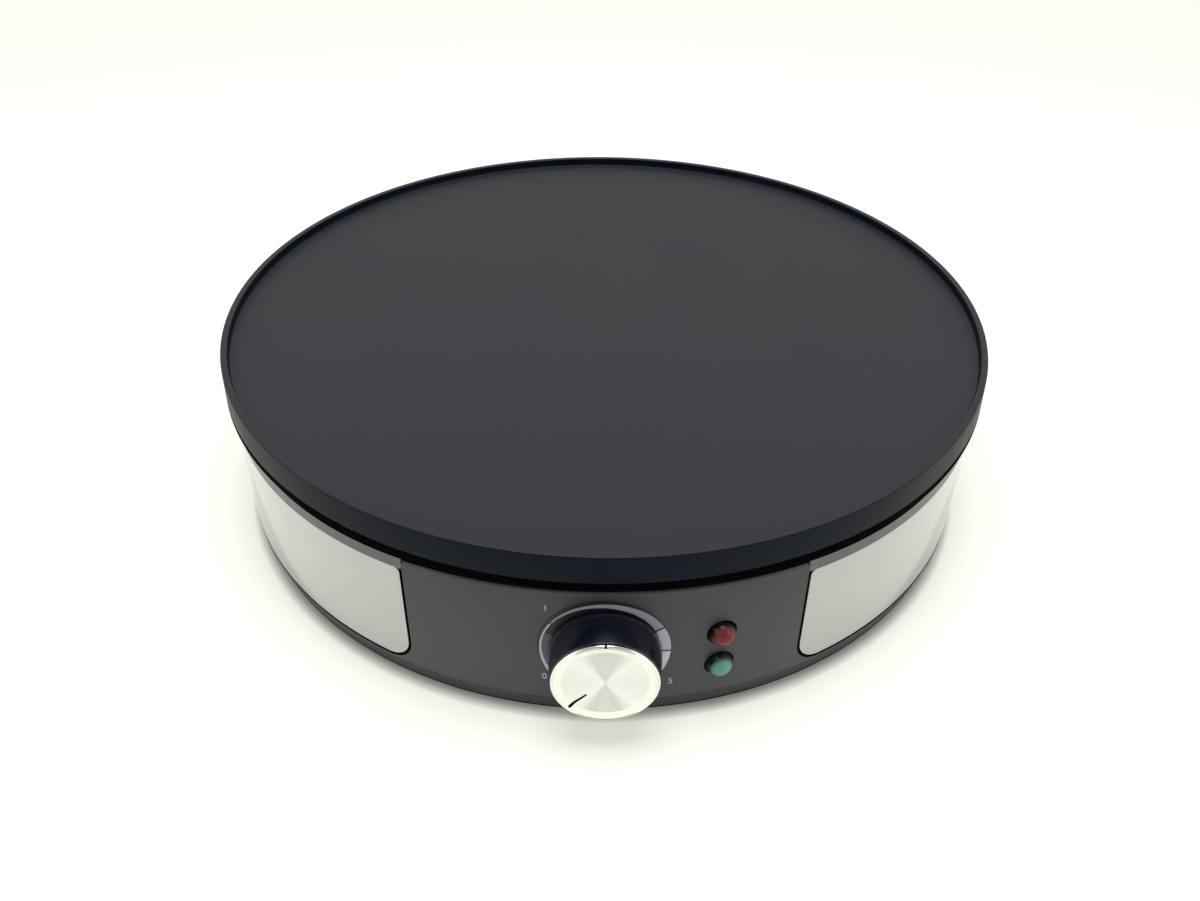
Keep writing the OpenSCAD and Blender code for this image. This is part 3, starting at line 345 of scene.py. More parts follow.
def turned(corners, steps, closed=False):
    """Draws a section in the XZ plane, rounds its corners and spins it all the way round Z."""
    bm = bmesh.new()
    verts = [bm.verts.new((r, 0, z)) for r, z, _ in corners]
    for pair in zip(verts, verts[1:]):
        bm.edges.new(pair)
    if closed:
        bm.edges.new((verts[-1], verts[0]))
    for vert, (_, _, radius) in zip(verts, corners):
        if radius:
            ease(bm, [vert], radius, CORNER_SEGMENTS)
    bmesh.ops.spin(bm, geom=bm.verts[:] + bm.edges[:], cent=(0, 0, 0), axis=(0, 0, 1), dvec=(0, 0, 0),
                   angle=FULL, steps=steps, use_merge=True, use_normal_flip=False, use_duplicate=False)
    bmesh.ops.remove_doubles(bm, verts=bm.verts, dist=SAME_PLACE)
    face_outwards(bm)
    return bm


def upright(bm, degrees, ring_r):
    """Sets a shape that stands along Z on a ring, at an angle from the front."""
    turn = Matrix.Rotation(math.radians(degrees), 4, "Z")
    bmesh.ops.transform(bm, matrix=turn @ Matrix.Translation((0, -ring_r, 0)), verts=bm.verts)
    return bm


def join(bm, other):
    """Puts another bmesh's shapes into this one, as loose shapes."""
    mesh = mesh_from("part", other)
    bm.from_mesh(mesh)
    bpy.data.meshes.remove(mesh)


def piece(name, bm, body, nodes, materials, sharp=30):
    """Makes a finished bmesh a piece of the model that rides on a body and stands for CAD nodes."""
    mesh = mesh_from(name, bm)
    for material in materials:
        mesh.materials.append(material)
    mesh.shade_smooth()
    mesh.set_sharp_from_angle(angle=math.radians(sharp))
    made = add_object(name, mesh)
    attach(made, body)
    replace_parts(made, *nodes)
    print(name, "has", len(mesh.polygons), "faces")
    return made


# %% [markdown]
# ## Cooking plate
# The plate is one aluminium casting: a flat cooking face, a low rim with a hollow fillet inside it, and a
# side wall that hides the gap over the body. Spinning its section keeps the fillet and the rounded rim true.
# Screw bosses stand on its underside; each is a small tube, turned by itself and set in place.

# %% The plate's section and its bosses
RIM_H = 3.5 * MM
RIM_LAND = 2.6 * MM
RIM_FILLET = 1 * MM
EDGE_ROUND = 0.4 * MM
PLATE_T = 5 * MM
SIDE_T = 3.6 * MM
SIDE_H = 14.2 * MM
DRAFT = 0.5 * MM
LIP_H = 3.9 * MM
MOUNT_RING_R = 118 * MM
MOUNT_BOSS = (7 * MM, 2.5 * MM)
CLAMP_RING_R = 95 * MM
CLAMP_ARM = 9.5 * MM
CLAMP_BOSS = (4 * MM, 2 * MM)
CLIP_HOLE_IN = 4 * MM

plate_r = plate_foot_r - DRAFT
plate_foot_z = plate_top_z - SIDE_H
cook_z = plate_top_z - RIM_H
under_z = cook_z - PLATE_T
land_r = plate_r - RIM_LAND

plate = turned([(0, cook_z, 0), (land_r, cook_z, RIM_FILLET), (land_r, plate_top_z, EDGE_ROUND),
                (plate_r, plate_top_z, EDGE_ROUND),
                (plate_foot_r - DRAFT * LIP_H / SIDE_H, plate_foot_z + LIP_H, 0),
                (plate_foot_r, plate_foot_z, 1.6 * MM), (plate_r - SIDE_T, plate_foot_z, 0.6 * MM),
                (plate_r - SIDE_T, under_z, 1.5 * MM), (0, under_z, 0)], steps=256)


def boss(angle, ring_r, foot_z, size):
    """A tube for a screw, at an angle from the front, on a ring. Its size is its radius and its hole's."""
    r, hole_r = size
    tube = turned([(hole_r, foot_z, 0), (r, foot_z, 0.4 * MM), (r, under_z, 0), (hole_r, under_z, 0)],
                  steps=32, closed=True)
    return upright(tube, angle, ring_r)


for angle in (45, 135, 225, 315):
    join(plate, boss(angle, MOUNT_RING_R, plate_box[0].z, MOUNT_BOSS))
clamp_top_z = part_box("element_clamps")[1].z
for angle in (20, 100, 260, 340):
    for side in (-1, 1):
        join(plate, boss(angle, CLAMP_RING_R + side * CLAMP_ARM, clamp_top_z, CLAMP_BOSS))
for clip in ("bulb_clip", "fuse_clip"):
    clip_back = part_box(clip)[1]
    join(plate, boss(0, CLIP_HOLE_IN - clip_back.y, clip_back.z, CLAMP_BOSS))

# %% [markdown]
# The cooking face has a PTFE non-stick coating, sprayed and baked: charcoal with a dull sheen and the faint
# orange peel of a sprayed film. The rim's walls have a black stove paint. The whole underside is blacked, to
# take up heat. The lip at the foot has the same black as painted shade, for the dark gap over the body, and
# both reflect next to nothing. All three are on one casting, so the mesh has three material slots, and each
# face takes its own by where it lies.

# %% Non-stick coating and stove paint
nonstick = finish("ptfe_nonstick_coating", "#1E2029", "#21222C", (0.52, 0.56), patch=45, grain=0.9,
                  depth=0.012, Specular_IOR_Level=0.28)
stove_paint = finish("black_stove_paint", "#060F1B", "#081221", (0.38, 0.46), patch=20, grain=0.5,
                     depth=0.01, Specular_IOR_Level=0.09)
# near black: the underside's heat-absorbing finish, and painted shade on the lip at the foot
heat_black_and_painted_shade = finish("heat_absorbing_black_and_painted_shade", "#010101", "#030303", (0.85, 0.95), patch=20, grain=0.5,
                    depth=0.02, Specular_IOR_Level=0.02)

COATED_TILT = math.radians(37.2)
side_wall_r = plate_r - 0.25 * MM
for face in plate.faces:
    centre = face.calc_center_median()
    on_side = math.hypot(centre.x, centre.y) > side_wall_r
    below = centre.z < (under_z + cook_z) / 2
    # the lip at the foot takes the black as painted shade for the gap over the body
    if centre.z < plate_foot_z + LIP_H or (below and not on_side):
        face.material_index = 2
    elif below or face.normal.z < math.cos(COATED_TILT):
        face.material_index = 1
piece("cooking_plate", plate, "base", ["hotplate"], [nonstick, stove_paint, heat_black_and_painted_shade])

# %% [markdown]
# ## Sheets bent round the drum
# The side panels are flat blanks of steel with rounded corners, bent round the drum, and their seats in the
# body have the same outline. Rounding corners on a surface that is already bent is awkward, so both are made
# as a metalworker does: cut the blank flat, round its corners with a vertex bevel, score it where it will
# bend, and only then fold it along its section and wrap it.

# %% Cut, score, fold and wrap a blank
SCORE_STEP = 3.5 * MM
BLANK_SEGMENTS = 12


def blank(half_width, height, foot_round, top_round):
    """A flat sheet that stands in the XZ plane, with its lower and upper corners rounded."""
    bm = bmesh.new()
    outline = [(-half_width, 0, foot_round), (half_width, 0, foot_round),
               (half_width, height, top_round), (-half_width, height, top_round)]
    verts = [bm.verts.new((x, 0, z)) for x, z, _ in outline]
    bm.faces.new(verts)
    for vert, (_, _, radius) in zip(verts, outline):
        if radius:
            ease(bm, [vert], radius, BLANK_SEGMENTS)
    return bm


def score(bm, direction, places):
    """Cuts the faces in two at places along a direction, so that a sheet can bend there."""
    for place in places:
        bmesh.ops.bisect_plane(bm, geom=bm.verts[:] + bm.edges[:] + bm.faces[:], dist=SAME_PLACE,
                               plane_co=Vector(direction) * place, plane_no=direction)


def raise_faces(bm, rise):
    """Gives a flat sheet a thickness, by extruding all its faces."""
    raised = bmesh.ops.extrude_face_region(bm, geom=bm.faces[:])["geom"]
    lifted = [part for part in raised if isinstance(part, bmesh.types.BMVert)]
    bmesh.ops.translate(bm, vec=rise, verts=lifted)


def columns(half_width):
    """Places of the upright scores across a blank."""
    count = int(half_width / SCORE_STEP)
    return [step * SCORE_STEP for step in range(-count, count + 1)]


def run_lengths(section):
    """How far along a section each of its corners lies."""
    places = [0]
    for here, there in zip(section, section[1:]):
        places.append(places[-1] + (Vector(there) - Vector(here)).length)
    return places


def wrap(bm, section, middle):
    """Folds a blank along a section of (radius, height) corners and bends it round the drum.
    The blank's z runs along the section, its x round the body's outside and its y outwards."""
    lengths = run_lengths(section)
    for vert in bm.verts:
        run = max(i for i, place in enumerate(lengths[:-1]) if place <= vert.co.z + SAME_PLACE or i == 0)
        here, there = Vector(section[run]), Vector(section[run + 1])
        share = (vert.co.z - lengths[run]) / (lengths[run + 1] - lengths[run])
        r, z = here + (there - here) * share
        angle = middle + vert.co.x / body_r
        r += vert.co.y
        vert.co = (r * math.sin(angle), -r * math.cos(angle), z)


# %% [markdown]
# ## Body
# The body is one moulding of dark gunmetal plastic: control panel in front, rear panel, and the base band
# that joins them below the steel and tapers in to the foot. It is a turned ring, whose top edge sinks a
# little from the middle of each plastic panel towards the steel, with seats 1.2 mm deep for the steel, slots
# in the rear, and holes for the lamps, the control and the cord. A union adds the screw posts and the pad
# behind the control, then one difference with all the cutters takes the rest away, as cores do in the mould.

# %% Joining and cutting solids
def solid_with(bm, tool, operation):
    """The solid that is left when a tool is joined to a solid or cut out of it."""
    stands = [add_object("solid", mesh_from("solid", shape)) for shape in (bm, tool)]
    cutter = stands[0].modifiers.new("cut", "BOOLEAN")
    cutter.object = stands[1]
    cutter.operation = operation
    cutter.solver = "EXACT"
    cutter.use_self = True
    made = stands[0].evaluated_get(bpy.context.evaluated_depsgraph_get())
    result = bmesh.new()
    result.from_mesh(made.to_mesh())
    for stand in stands:
        bpy.data.meshes.remove(stand.data)
    return result


def bar(r, low, high, steps=32):
    """A round bar along Z."""
    return turned([(0, low, 0), (r, low, 0), (r, high, 0), (0, high, 0)], steps)


def outwards(bm, degrees, height, across=0, foot_r=0):
    """Turns a shape that stands along Z to point out of the drum, at an angle from the front, with its foot
    at a radius."""
    turn = Matrix.Rotation(math.radians(degrees), 4, "Z")
    place = Matrix.Translation((across, -foot_r, height)) @ Matrix.Rotation(QUARTER, 4, "X")
    bmesh.ops.transform(bm, matrix=turn @ place, verts=bm.verts)
    return bm


def block(low, high, end_round=0, segments=5):
    """A block between two corners, with its edges along Z rounded."""
    bm = bmesh.new()
    bmesh.ops.create_cube(bm, size=1)
    low, high = Vector(low), Vector(high)
    place = Matrix.Translation((low + high) / 2)
    bmesh.ops.transform(bm, matrix=place @ Matrix.Diagonal((high - low).to_4d()), verts=bm.verts)
    if end_round:
        along = [e for e in bm.edges if abs(e.verts[0].co.z - e.verts[1].co.z) > SAME_PLACE]
        ease(bm, along, end_round, segments, "EDGES")
    return bm


# %% The body's ring, posts and pad
SEAT_FLOOR_R = 147.3 * MM
SEAT_FOOT_Z = 9.9 * MM
CREASE_Z = 54 * MM
SHOULDER_H = 3.6 * MM
SHOULDER_LEAN = 0.9 * MM
CREASE_DIP = 1.6 * MM
SHOULDER_DIP = 1.1 * MM
FASCIA_HALF = math.radians(26.2)
FASCIA_DIP = 1.2 * MM
SEAM = 1.1 * MM
POST_ANGLES = (20, 90, 160, 200, 270, 340)
POST_R = 4.5 * MM
POST_IN_WALL = 0.5 * MM
POST_RING_R = inner_r - POST_R + POST_IN_WALL
POST_H = 24 * MM
PAN_T = 1.2 * MM
PAD_SIZE = Vector((48, 6, 30)) * MM
BASE_Z, BASE_IN = 1.2 * MM, 2.4 * MM
STRIP_Z, STRIP_IN = 2.3 * MM, 2.2 * MM
BAND_Z, BAND_IN = 8.5 * MM, 1.2 * MM
BAND_STEP = 0.8 * MM

pan_top_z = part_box("base_pan")[0].z + PAN_T
body = turned([(inner_r, BASE_Z, 0.3 * MM), (body_r - BASE_IN, BASE_Z, 0.5 * MM),
               (body_r - STRIP_IN, STRIP_Z, 0), (body_r - BAND_IN, BAND_Z, 0.5 * MM),
               (body_r, BAND_Z + BAND_STEP, 0.3 * MM), (body_r, body_top_z, 1.2 * MM),
               (inner_r, body_top_z, 0.6 * MM)], steps=360, closed=True)
for vert in body.verts:
    if vert.co.z > CREASE_Z:
        from_middle = math.atan2(abs(vert.co.x), abs(vert.co.y))
        vert.co.z -= FASCIA_DIP * min(from_middle / FASCIA_HALF, 1) ** 2
joined = bmesh.new()
for angle in POST_ANGLES:
    join(joined, upright(bar(POST_R, pan_top_z, pan_top_z + POST_H), angle, POST_RING_R))
pad_corner = Vector((-PAD_SIZE.x / 2, -inner_r - WALL_T / 2, axis_z - PAD_SIZE.z / 2))
join(joined, block(pad_corner, pad_corner + PAD_SIZE))
body = solid_with(body, joined, "UNION")

# %% Everything that is cut out of the body
REACH = 6 * MM
SEAT_ROUND = 9.8 * MM
HOOK_ROOM = 5 * MM
HOOK_GAP = 0.1 * MM
STUD_ANGLES = [side * angle for side in (-1, 1) for angle in (40, 70, 110, 140)]
STUD_Z = SEAT_FOOT_Z + 12 * MM
STUD_HOLE_R = 1.8 * MM
window_half = (QUARTER - FASCIA_HALF) * body_r
seat_section = [(SEAT_FLOOR_R, SEAT_FOOT_Z), (SEAT_FLOOR_R, CREASE_Z - CREASE_DIP),
                (SEAT_FLOOR_R - 2 * SHOULDER_LEAN, CREASE_Z + 2 * SHOULDER_H)]
hook_foot_z = CREASE_Z + SHOULDER_H - CREASE_DIP - SHOULDER_DIP - PANEL_T - HOOK_GAP
cut_r = inner_r - 3 * MM
hook_section = [(cut_r, hook_foot_z), (cut_r, hook_foot_z + HOOK_ROOM)]
through = (inner_r - 8 * MM, body_r + 2 * MM)
cuts = bmesh.new()


def drill(r, degrees, height, across=0, floor_r=through[0], steps=32):
    """Adds a bar to the cuts, which drills the wall from the outside down to a radius."""
    join(cuts, outwards(bar(r, floor_r, through[1], steps), degrees, height, across))


for side in (-1, 1):
    for section, reach, foot_round in ((seat_section, REACH, SEAT_ROUND), (hook_section, 2 * REACH, 0)):
        lengths = run_lengths(section)
        seat = blank(window_half, lengths[-1], foot_round, 0)
        score(seat, (1, 0, 0), columns(window_half))
        score(seat, (0, 0, 1), lengths[1:-1])
        raise_faces(seat, (0, reach, 0))
        wrap(seat, section, side * QUARTER)
        face_outwards(seat)
        join(cuts, seat)
for angle in STUD_ANGLES:
    drill(STUD_HOLE_R, angle, STUD_Z, steps=20)

VENT_W = 2.4 * MM
VENT_L = 22.4 * MM
VENT_ANGLES = [180 + side * (8.5 + 2.1 * number) for side in (-1, 1) for number in range(5)]
vent_z = axis_z + 4 * MM
for angle in VENT_ANGLES:
    vent = block((-VENT_W / 2, -VENT_L / 2, through[0]), (VENT_W / 2, VENT_L / 2, through[1]),
                 VENT_W / 2 - 0.01 * MM, 8)
    join(cuts, outwards(vent, angle, vent_z))

LAMP_ANGLE = 14.75
LAMP_HOLE_R = 4.2 * MM
LAMP_SEAT_R = 5.15 * MM
LAMP_SEAT = 0.8 * MM
GLAND_HOLE_R = 8.3 * MM
BUSHING_HOLE_R = 5.3 * MM
FIXING_HOLE_R = 2.25 * MM
FIXING_HEAD_R = 4 * MM
FIXING_SINK = 3.4 * MM
FIXING_ACROSS = 13.5 * MM
lamp_nodes = {"red": "red_lamp_lens", "green": "green_lamp_lens"}
lamp_z = {tint: (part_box(node)[0].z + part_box(node)[1].z) / 2 for tint, node in lamp_nodes.items()}
gland_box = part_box("cord_gland")
gland_z = (gland_box[0].z + gland_box[1].z) / 2
drill(GLAND_HOLE_R, 180, gland_z)
drill(BUSHING_HOLE_R, 0, axis_z)
for across in (-FIXING_ACROSS, FIXING_ACROSS):
    drill(FIXING_HOLE_R, 0, axis_z, across)
    drill(FIXING_HEAD_R, 0, axis_z, across, body_r - FIXING_SINK)
for height in lamp_z.values():
    drill(LAMP_HOLE_R, LAMP_ANGLE, height)
    drill(LAMP_SEAT_R, LAMP_ANGLE, height, floor_r=body_r - LAMP_SEAT, steps=48)

POST_HOLE_R = 1.5 * MM
POST_HOLE_L = 21 * MM
for angle in POST_ANGLES:
    core = bar(POST_HOLE_R, pan_top_z - 1 * MM, pan_top_z + POST_HOLE_L, 20)
    join(cuts, upright(core, angle, POST_RING_R))
body = solid_with(body, cuts, "DIFFERENCE")
print("body has", sum(edge.is_boundary for edge in body.edges), "open edges")

# %% [markdown]
# The plastic is a glass-filled polyester, which stands the heat of the plate above it, with a satin,
# spark-eroded grain, coarser and duller on the base band, where its colour is also painted a little darker as
# painted shade. It is drawn a little too coarse, so that it shows. The seats behind the panels and round the
# lamps, the body's top under the plate and a strip under its foot are painted near black as painted shade, so
# that each seam, the gap under the plate and the foot read as dark lines. Each face takes its material slot
# by where it lies.

# %% Gunmetal plastic and seam tape
gunmetal = finish("gunmetal_polyester", "#343439", "#38383E", (0.4, 0.5), patch=30, grain=0.45,
                  depth=0.012, Specular_IOR_Level=0.5)
# painted shade: the base band's colour is a little darker than the body's, and its grain coarser
coarse_painted_shade_gunmetal = finish("coarse_polyester_painted_shade", "#303035", "#35353A", (0.5, 0.6), patch=30,
                         grain=0.6, depth=0.02, Specular_IOR_Level=0.42)
# painted shade: near black for the seams, the lamp seats, the top under the plate and the foot
painted_shade_black = finish("black_painted_shade", "#050506", "#08080A", (0.8, 0.9), patch=3, grain=0.3,
                   depth=0.03, Specular_IOR_Level=0.1)

PAINTED_SHADE_TILT = math.radians(30)
lamp_turn = Matrix.Rotation(-math.radians(LAMP_ANGLE), 3, "Z")
inside_r = inner_r + 0.5 * MM
outside_r = body_r - 0.05 * MM
seat_half = QUARTER - FASCIA_HALF + 0.002
for face in body.faces:
    centre = face.calc_center_median()
    r = math.hypot(centre.x, centre.y)
    in_seat = abs(math.atan2(centre.y, abs(centre.x))) < seat_half and centre.z > SEAT_FOOT_Z - 0.1 * MM
    faced = lamp_turn @ centre
    near_lamp = faced.y < 0 and any(math.hypot(faced.x, faced.z - height) < LAMP_SEAT_R + 0.01 * MM
                                    for height in lamp_z.values())
    on_top = centre.z > CREASE_Z and face.normal.z > math.cos(PAINTED_SHADE_TILT)
    # faces that take the painted shade black, and below them the base band's darker painted shade
    if on_top or centre.z < STRIP_Z or (inside_r < r < outside_r and (in_seat or near_lamp)):
        face.material_index = 1
    elif r > inside_r and centre.z < BAND_Z + 0.4 * MM:
        face.material_index = 2
piece("body_moulding", body, "base", ["housing"], [gunmetal, painted_shade_black, coarse_painted_shade_gunmetal])

# %% [markdown]
# ## Side panels
# Each panel is a 0.9 mm stainless sheet, brushed along its length, with a clear lacquer against fingerprints
# that brightens it where it turns away. Its upright wall has rounded lower corners. Above a crease the sheet
# leans in under the plate, as a shoulder whose steel is painted darker, a painted reflection and shade of the
# plate, and both sink a little towards the panel's middle. The top edge is folded over the body and hooked
# behind it, and the fold is painted near black as painted shade under the plate.
# Wall and shoulder are two flat blanks scored at the same places, so that they meet along the crease. Scores
# run through every corner of the wall's outline, because a face that is bent only at its edges stays flat.
# Solidify gives the sheet its thickness.

# %% Two panels from one pattern
def brushed(name, dark, light):
    """Steel brushed along its length, under clear lacquer. Its hairlines are drawn wider than real ones, so
    that they show."""
    material, tree, coords = new_material(name)
    hairlines = noise(tree, coords, 0.25 * MM, (120, 120, 1), detail=3)
    surface(tree, hairlines, (linear(dark), linear(light)), (0.34, 0.42), hairlines, 0.002 * MM,
            Metallic=1, Coat_Weight=1, Coat_Roughness=0.12)
    return material


stainless = brushed("brushed_stainless", "#A8ABA9", "#B2B5B3")
# painted shade: the shoulder's steel is a darker copy of the wall's, for the plate's reflection and shadow
painted_shade_steel = brushed("brushed_stainless_painted_shade", "#4D4D50", "#535356")

PANEL_ROUND = 9 * MM
CREASE_ROUND = 2 * MM
HOOK_L = 6 * MM
panel_half = window_half - SEAM
panel_foot_z = SEAT_FOOT_Z + SEAM
shoulder_top_z = CREASE_Z + SHOULDER_H
hook_r = inner_r - 1.2 * MM
wall_section = [(body_r, panel_foot_z), (body_r, CREASE_Z)]
shoulder_section = [(body_r, CREASE_Z), (body_r - SHOULDER_LEAN, shoulder_top_z),
                    (hook_r, shoulder_top_z), (hook_r, shoulder_top_z - HOOK_L)]


def side_panel(name, side, node):
    """A steel panel on the right (1) or the left (-1)."""
    sheet = bmesh.new()
    wall = blank(panel_half, run_lengths(wall_section)[-1], PANEL_ROUND, CREASE_ROUND)
    shoulder = blank(window_half - 0.2 * MM, run_lengths(shoulder_section)[-1], 0, 0)
    scores = columns(panel_half) + [vert.co.x for vert in wall.verts]
    for part, section in ((wall, wall_section), (shoulder, shoulder_section)):
        score(part, (1, 0, 0), scores)
        score(part, (0, 0, 1), run_lengths(section)[1:-1])
        for face in part.faces:
            over_top = face.calc_center_median().z > run_lengths(section)[1]
            # the shoulder takes the painted shade steel, and the fold over the top the painted shade black
            face.material_index = (section is shoulder_section) + over_top
        wrap(part, section, side * QUARTER)
        join(sheet, part)
    for vert in sheet.verts:
        from_middle = math.atan2(abs(vert.co.y), abs(vert.co.x)) * body_r / window_half
        below = min(1, (vert.co.z - panel_foot_z) / (CREASE_Z - panel_foot_z))
        above = min(1, max(0, (vert.co.z - CREASE_Z) / SHOULDER_H))
        vert.co.z -= (CREASE_DIP * below + SHOULDER_DIP * above) * (1 - from_middle ** 2)
    bmesh.ops.remove_doubles(sheet, verts=sheet.verts, dist=1e-6)
    bmesh.ops.recalc_face_normals(sheet, faces=sheet.faces)
    sample = max(sheet.faces, key=lambda face: face.calc_area())
    centre = sample.calc_center_median()
    if sample.normal.dot(Vector((centre.x, centre.y, 0))) < 0:
        bmesh.ops.reverse_faces(sheet, faces=sheet.faces)
    made = piece(name, sheet, "base", [node], [stainless, painted_shade_steel, painted_shade_black],
                 sharp=9)
    thickness = made.modifiers.new("thickness", "SOLIDIFY")
    thickness.thickness = PANEL_T
    thickness.offset = -1
    thickness.use_even_offset = True
    rounded = made.modifiers.new("edges", "BEVEL")
    rounded.width = 0.15 * MM
    rounded.segments = 2
    rounded.limit_method = "ANGLE"
    rounded.angle_limit = math.radians(60)


side_panel("right_panel", 1, "right_side_panel")
side_panel("left_panel", -1, "left_side_panel")

# %% [markdown]
# Each panel is held by four studs welded to its back, which go through the body and take a nut inside. They
# are plain bars, and one piece for all eight keeps them away from the panels' thickness modifier.

# %% Studs
STUD_R = 1.5 * MM
STUD_L = 9 * MM
stud_root_r = body_r - PANEL_T / 2
stud_tip_r = body_r - PANEL_T - STUD_L
studs = bmesh.new()
for angle in STUD_ANGLES:
    stud = turned([(0, stud_tip_r, 0), (STUD_R, stud_tip_r, 0.3 * MM), (STUD_R, stud_root_r, 0),
                   (0, stud_root_r, 0)], steps=24)
    join(studs, outwards(stud, angle, STUD_Z))
piece("panel_studs", studs, "base", [], [stainless])

# %% [markdown]
# ## Knob
# The knob is a moulded barrel that tapers to the front, with a spun aluminium face pressed into it. The face
# was turned on a lathe. Its middle is sunk, and a wide sloping ring round it is cut bright with a diamond, as
# its edge is, with a fine groove between the two. The circular tool marks on the middle spread reflections
# along the radius, which draws the bright fans. The section is spun along Z and laid on the control axis.

# %% Finishes of the knob
black_enamel = finish("black_enamel", "#040404", "#080808", (0.5, 0.6), patch=2, grain=0.2,
                      depth=0.002, Specular_IOR_Level=0.08)
glossy_black = finish("polished_black_abs", "#0D101A", "#121521", (0.16, 0.22), patch=15, grain=3,
                      depth=0.004, Specular_IOR_Level=0.45)
diamond_cut = finish("diamond_cut_edge", "#EBEBE4", "#EFEFE9", (0.14, 0.2), patch=2, grain=0.2,
                     depth=0.001, Metallic=1)

TOOL_MARK_W = 0.3 * MM  # wider than real tool marks, so that they show
spun, tree, coords = new_material("spun_aluminium")
centred = add(tree, "Mapping", {"Vector": coords, "Location": (0, 0, -axis_z), "Scale": (1, 0, 1)}).outputs[0]
from_axis = add(tree, "VectorMath", {0: centred}, operation="LENGTH").outputs["Value"]
tool_marks = add(tree, "TexNoise", {"W": from_axis, "Scale": 1 / TOOL_MARK_W, "Detail": 2},
                 noise_dimensions="1D").outputs[0]
shader = add(tree, "BsdfPrincipled", {
    "Base Color": linear("#FDFDFA"), "Metallic": 1, "Anisotropic": 0.95, "Anisotropic Rotation": 0.25,
    "Roughness": add(tree, "MapRange", {"Value": tool_marks, 3: 0.46, 4: 0.58}).outputs[0],
    "Normal": add(tree, "Bump", {"Height": tool_marks, "Strength": 1, "Distance": 0.003 * MM}).outputs[0],
    "Tangent": add(tree, "Tangent", direction_type="RADIAL", axis="Y").outputs[0]})
add(tree, "OutputMaterial", {"Surface": shader.outputs[0]})

# %% Barrel and face
CAP_T = 1.2 * MM
KNOB_SKIRT = 2 * MM
KNOB_WEB = 2.6 * MM
HUB_R = 5.6 * MM
SPINDLE_R = 3.1 * MM
SPINDLE_WEB = 1.8 * MM
CLEARANCE = 0.05 * MM
knob_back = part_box("knob_barrel")[1]
cap_front, cap_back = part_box("knob_cap")
knob_root_r = knob_back.x
cap_r = cap_back.x
seam_y = cap_front.y + CAP_T
knob_l = knob_back.y - seam_y
front_r = cap_r + (knob_root_r - cap_r) * CAP_T / (knob_l + CAP_T)
plug_r = cap_r - 1.8 * MM
plug_t = cap_back.y - seam_y
recess_z = knob_l - plug_t - CLEARANCE
print("knob", round(1000 * knob_l, 1), "mm long behind its face, from radius", round(1000 * knob_root_r, 1),
      "to", round(1000 * front_r, 1), "mm")

barrel = turned([(0, knob_l - SPINDLE_WEB, 0), (SPINDLE_R, knob_l - SPINDLE_WEB, 0), (SPINDLE_R, 0, 0),
                 (HUB_R, 0, 0.3 * MM), (HUB_R, knob_l - KNOB_WEB, 0),
                 (front_r - KNOB_SKIRT, knob_l - KNOB_WEB, 0), (knob_root_r - KNOB_SKIRT, 0, 0.3 * MM),
                 (knob_root_r, 0, 0.5 * MM), (front_r, knob_l, 0.35 * MM), (plug_r + CLEARANCE, knob_l, 0),
                 (plug_r + CLEARANCE, recess_z, 0), (0, recess_z, 0)], steps=128)
piece("knob_grip", outwards(barrel, 0, axis_z, foot_r=-knob_back.y), "dial",
      ["knob_barrel"], [glossy_black])

EDGE = 0.4 * MM
GROOVE = 0.22 * MM
DISH = 0.8 * MM
SLOPE_W = 2.4 * MM
groove_r = cap_r - EDGE - 0.15 * MM
slope_r = groove_r - 2 * GROOVE
dish_r = slope_r - SLOPE_W
face = turned([(0, -plug_t, 0), (plug_r, -plug_t, 0), (plug_r, 0, 0), (cap_r, 0, 0.1 * MM),
               (cap_r, CAP_T - EDGE, 0.12 * MM), (cap_r - EDGE, CAP_T, 0.12 * MM), (groove_r, CAP_T, 0),
               (groove_r - GROOVE, CAP_T - GROOVE, 0), (slope_r, CAP_T, 0.06 * MM),
               (dish_r, CAP_T - DISH, 1 * MM), (0, CAP_T - DISH, 0)], steps=192)

# %% [markdown]
# Two marks are milled into the face: a notch across its edge at the top, filled with black enamel, and a slot
# for the black pointer. Both come out of it as small blocks. The pointer is a block too, a hair smaller, that
# fills the slot and rises with the sloping ring. It points at off, at the lower left of the scale.

# %% Notch, slot and pointer
OFF_ANGLE = math.radians(223.5)
POINTER_FROM = 7.95 * MM
POINTER_L = 7.9 * MM
POINTER_W = 1.15 * MM
POINTER_TAIL_W = 0.6 * POINTER_W
POINTER_DEPTH = 0.35 * MM
NOTCH_W = 0.7 * MM
NOTCH_DEPTH = 0.7 * MM
ENAMEL_Z = 0.1 * MM
HAIR = 0.01 * MM


def towards(angle, distance=1):
    """A step in the XY plane in a direction."""
    return Vector((math.cos(angle), math.sin(angle), 0)) * distance


def face_height(r):
    """Height of the face over its back at a distance from the axis."""
    return CAP_T - DISH * min(1, max(0, (slope_r - r) / SLOPE_W))


def pointer_shape(spare, low, high):
    """The pointer between two heights, narrower at its tail, and bigger all round by a spare width."""
    corner = (POINTER_FROM - spare, -POINTER_W / 2 - spare, low)
    far = (POINTER_FROM + POINTER_L + spare, POINTER_W / 2 + spare, high)
    shape = block(corner, far, 0.45 * POINTER_W)
    tail = POINTER_TAIL_W / POINTER_W
    for vert in shape.verts:
        vert.co.y *= tail + (1 - tail) * (vert.co.x - corner[0]) / (far[0] - corner[0])
    score(shape, (1, 0, 0), [dish_r])
    bmesh.ops.rotate(shape, cent=(0, 0, 0), matrix=Matrix.Rotation(OFF_ANGLE, 3, "Z"), verts=shape.verts)
    return shape


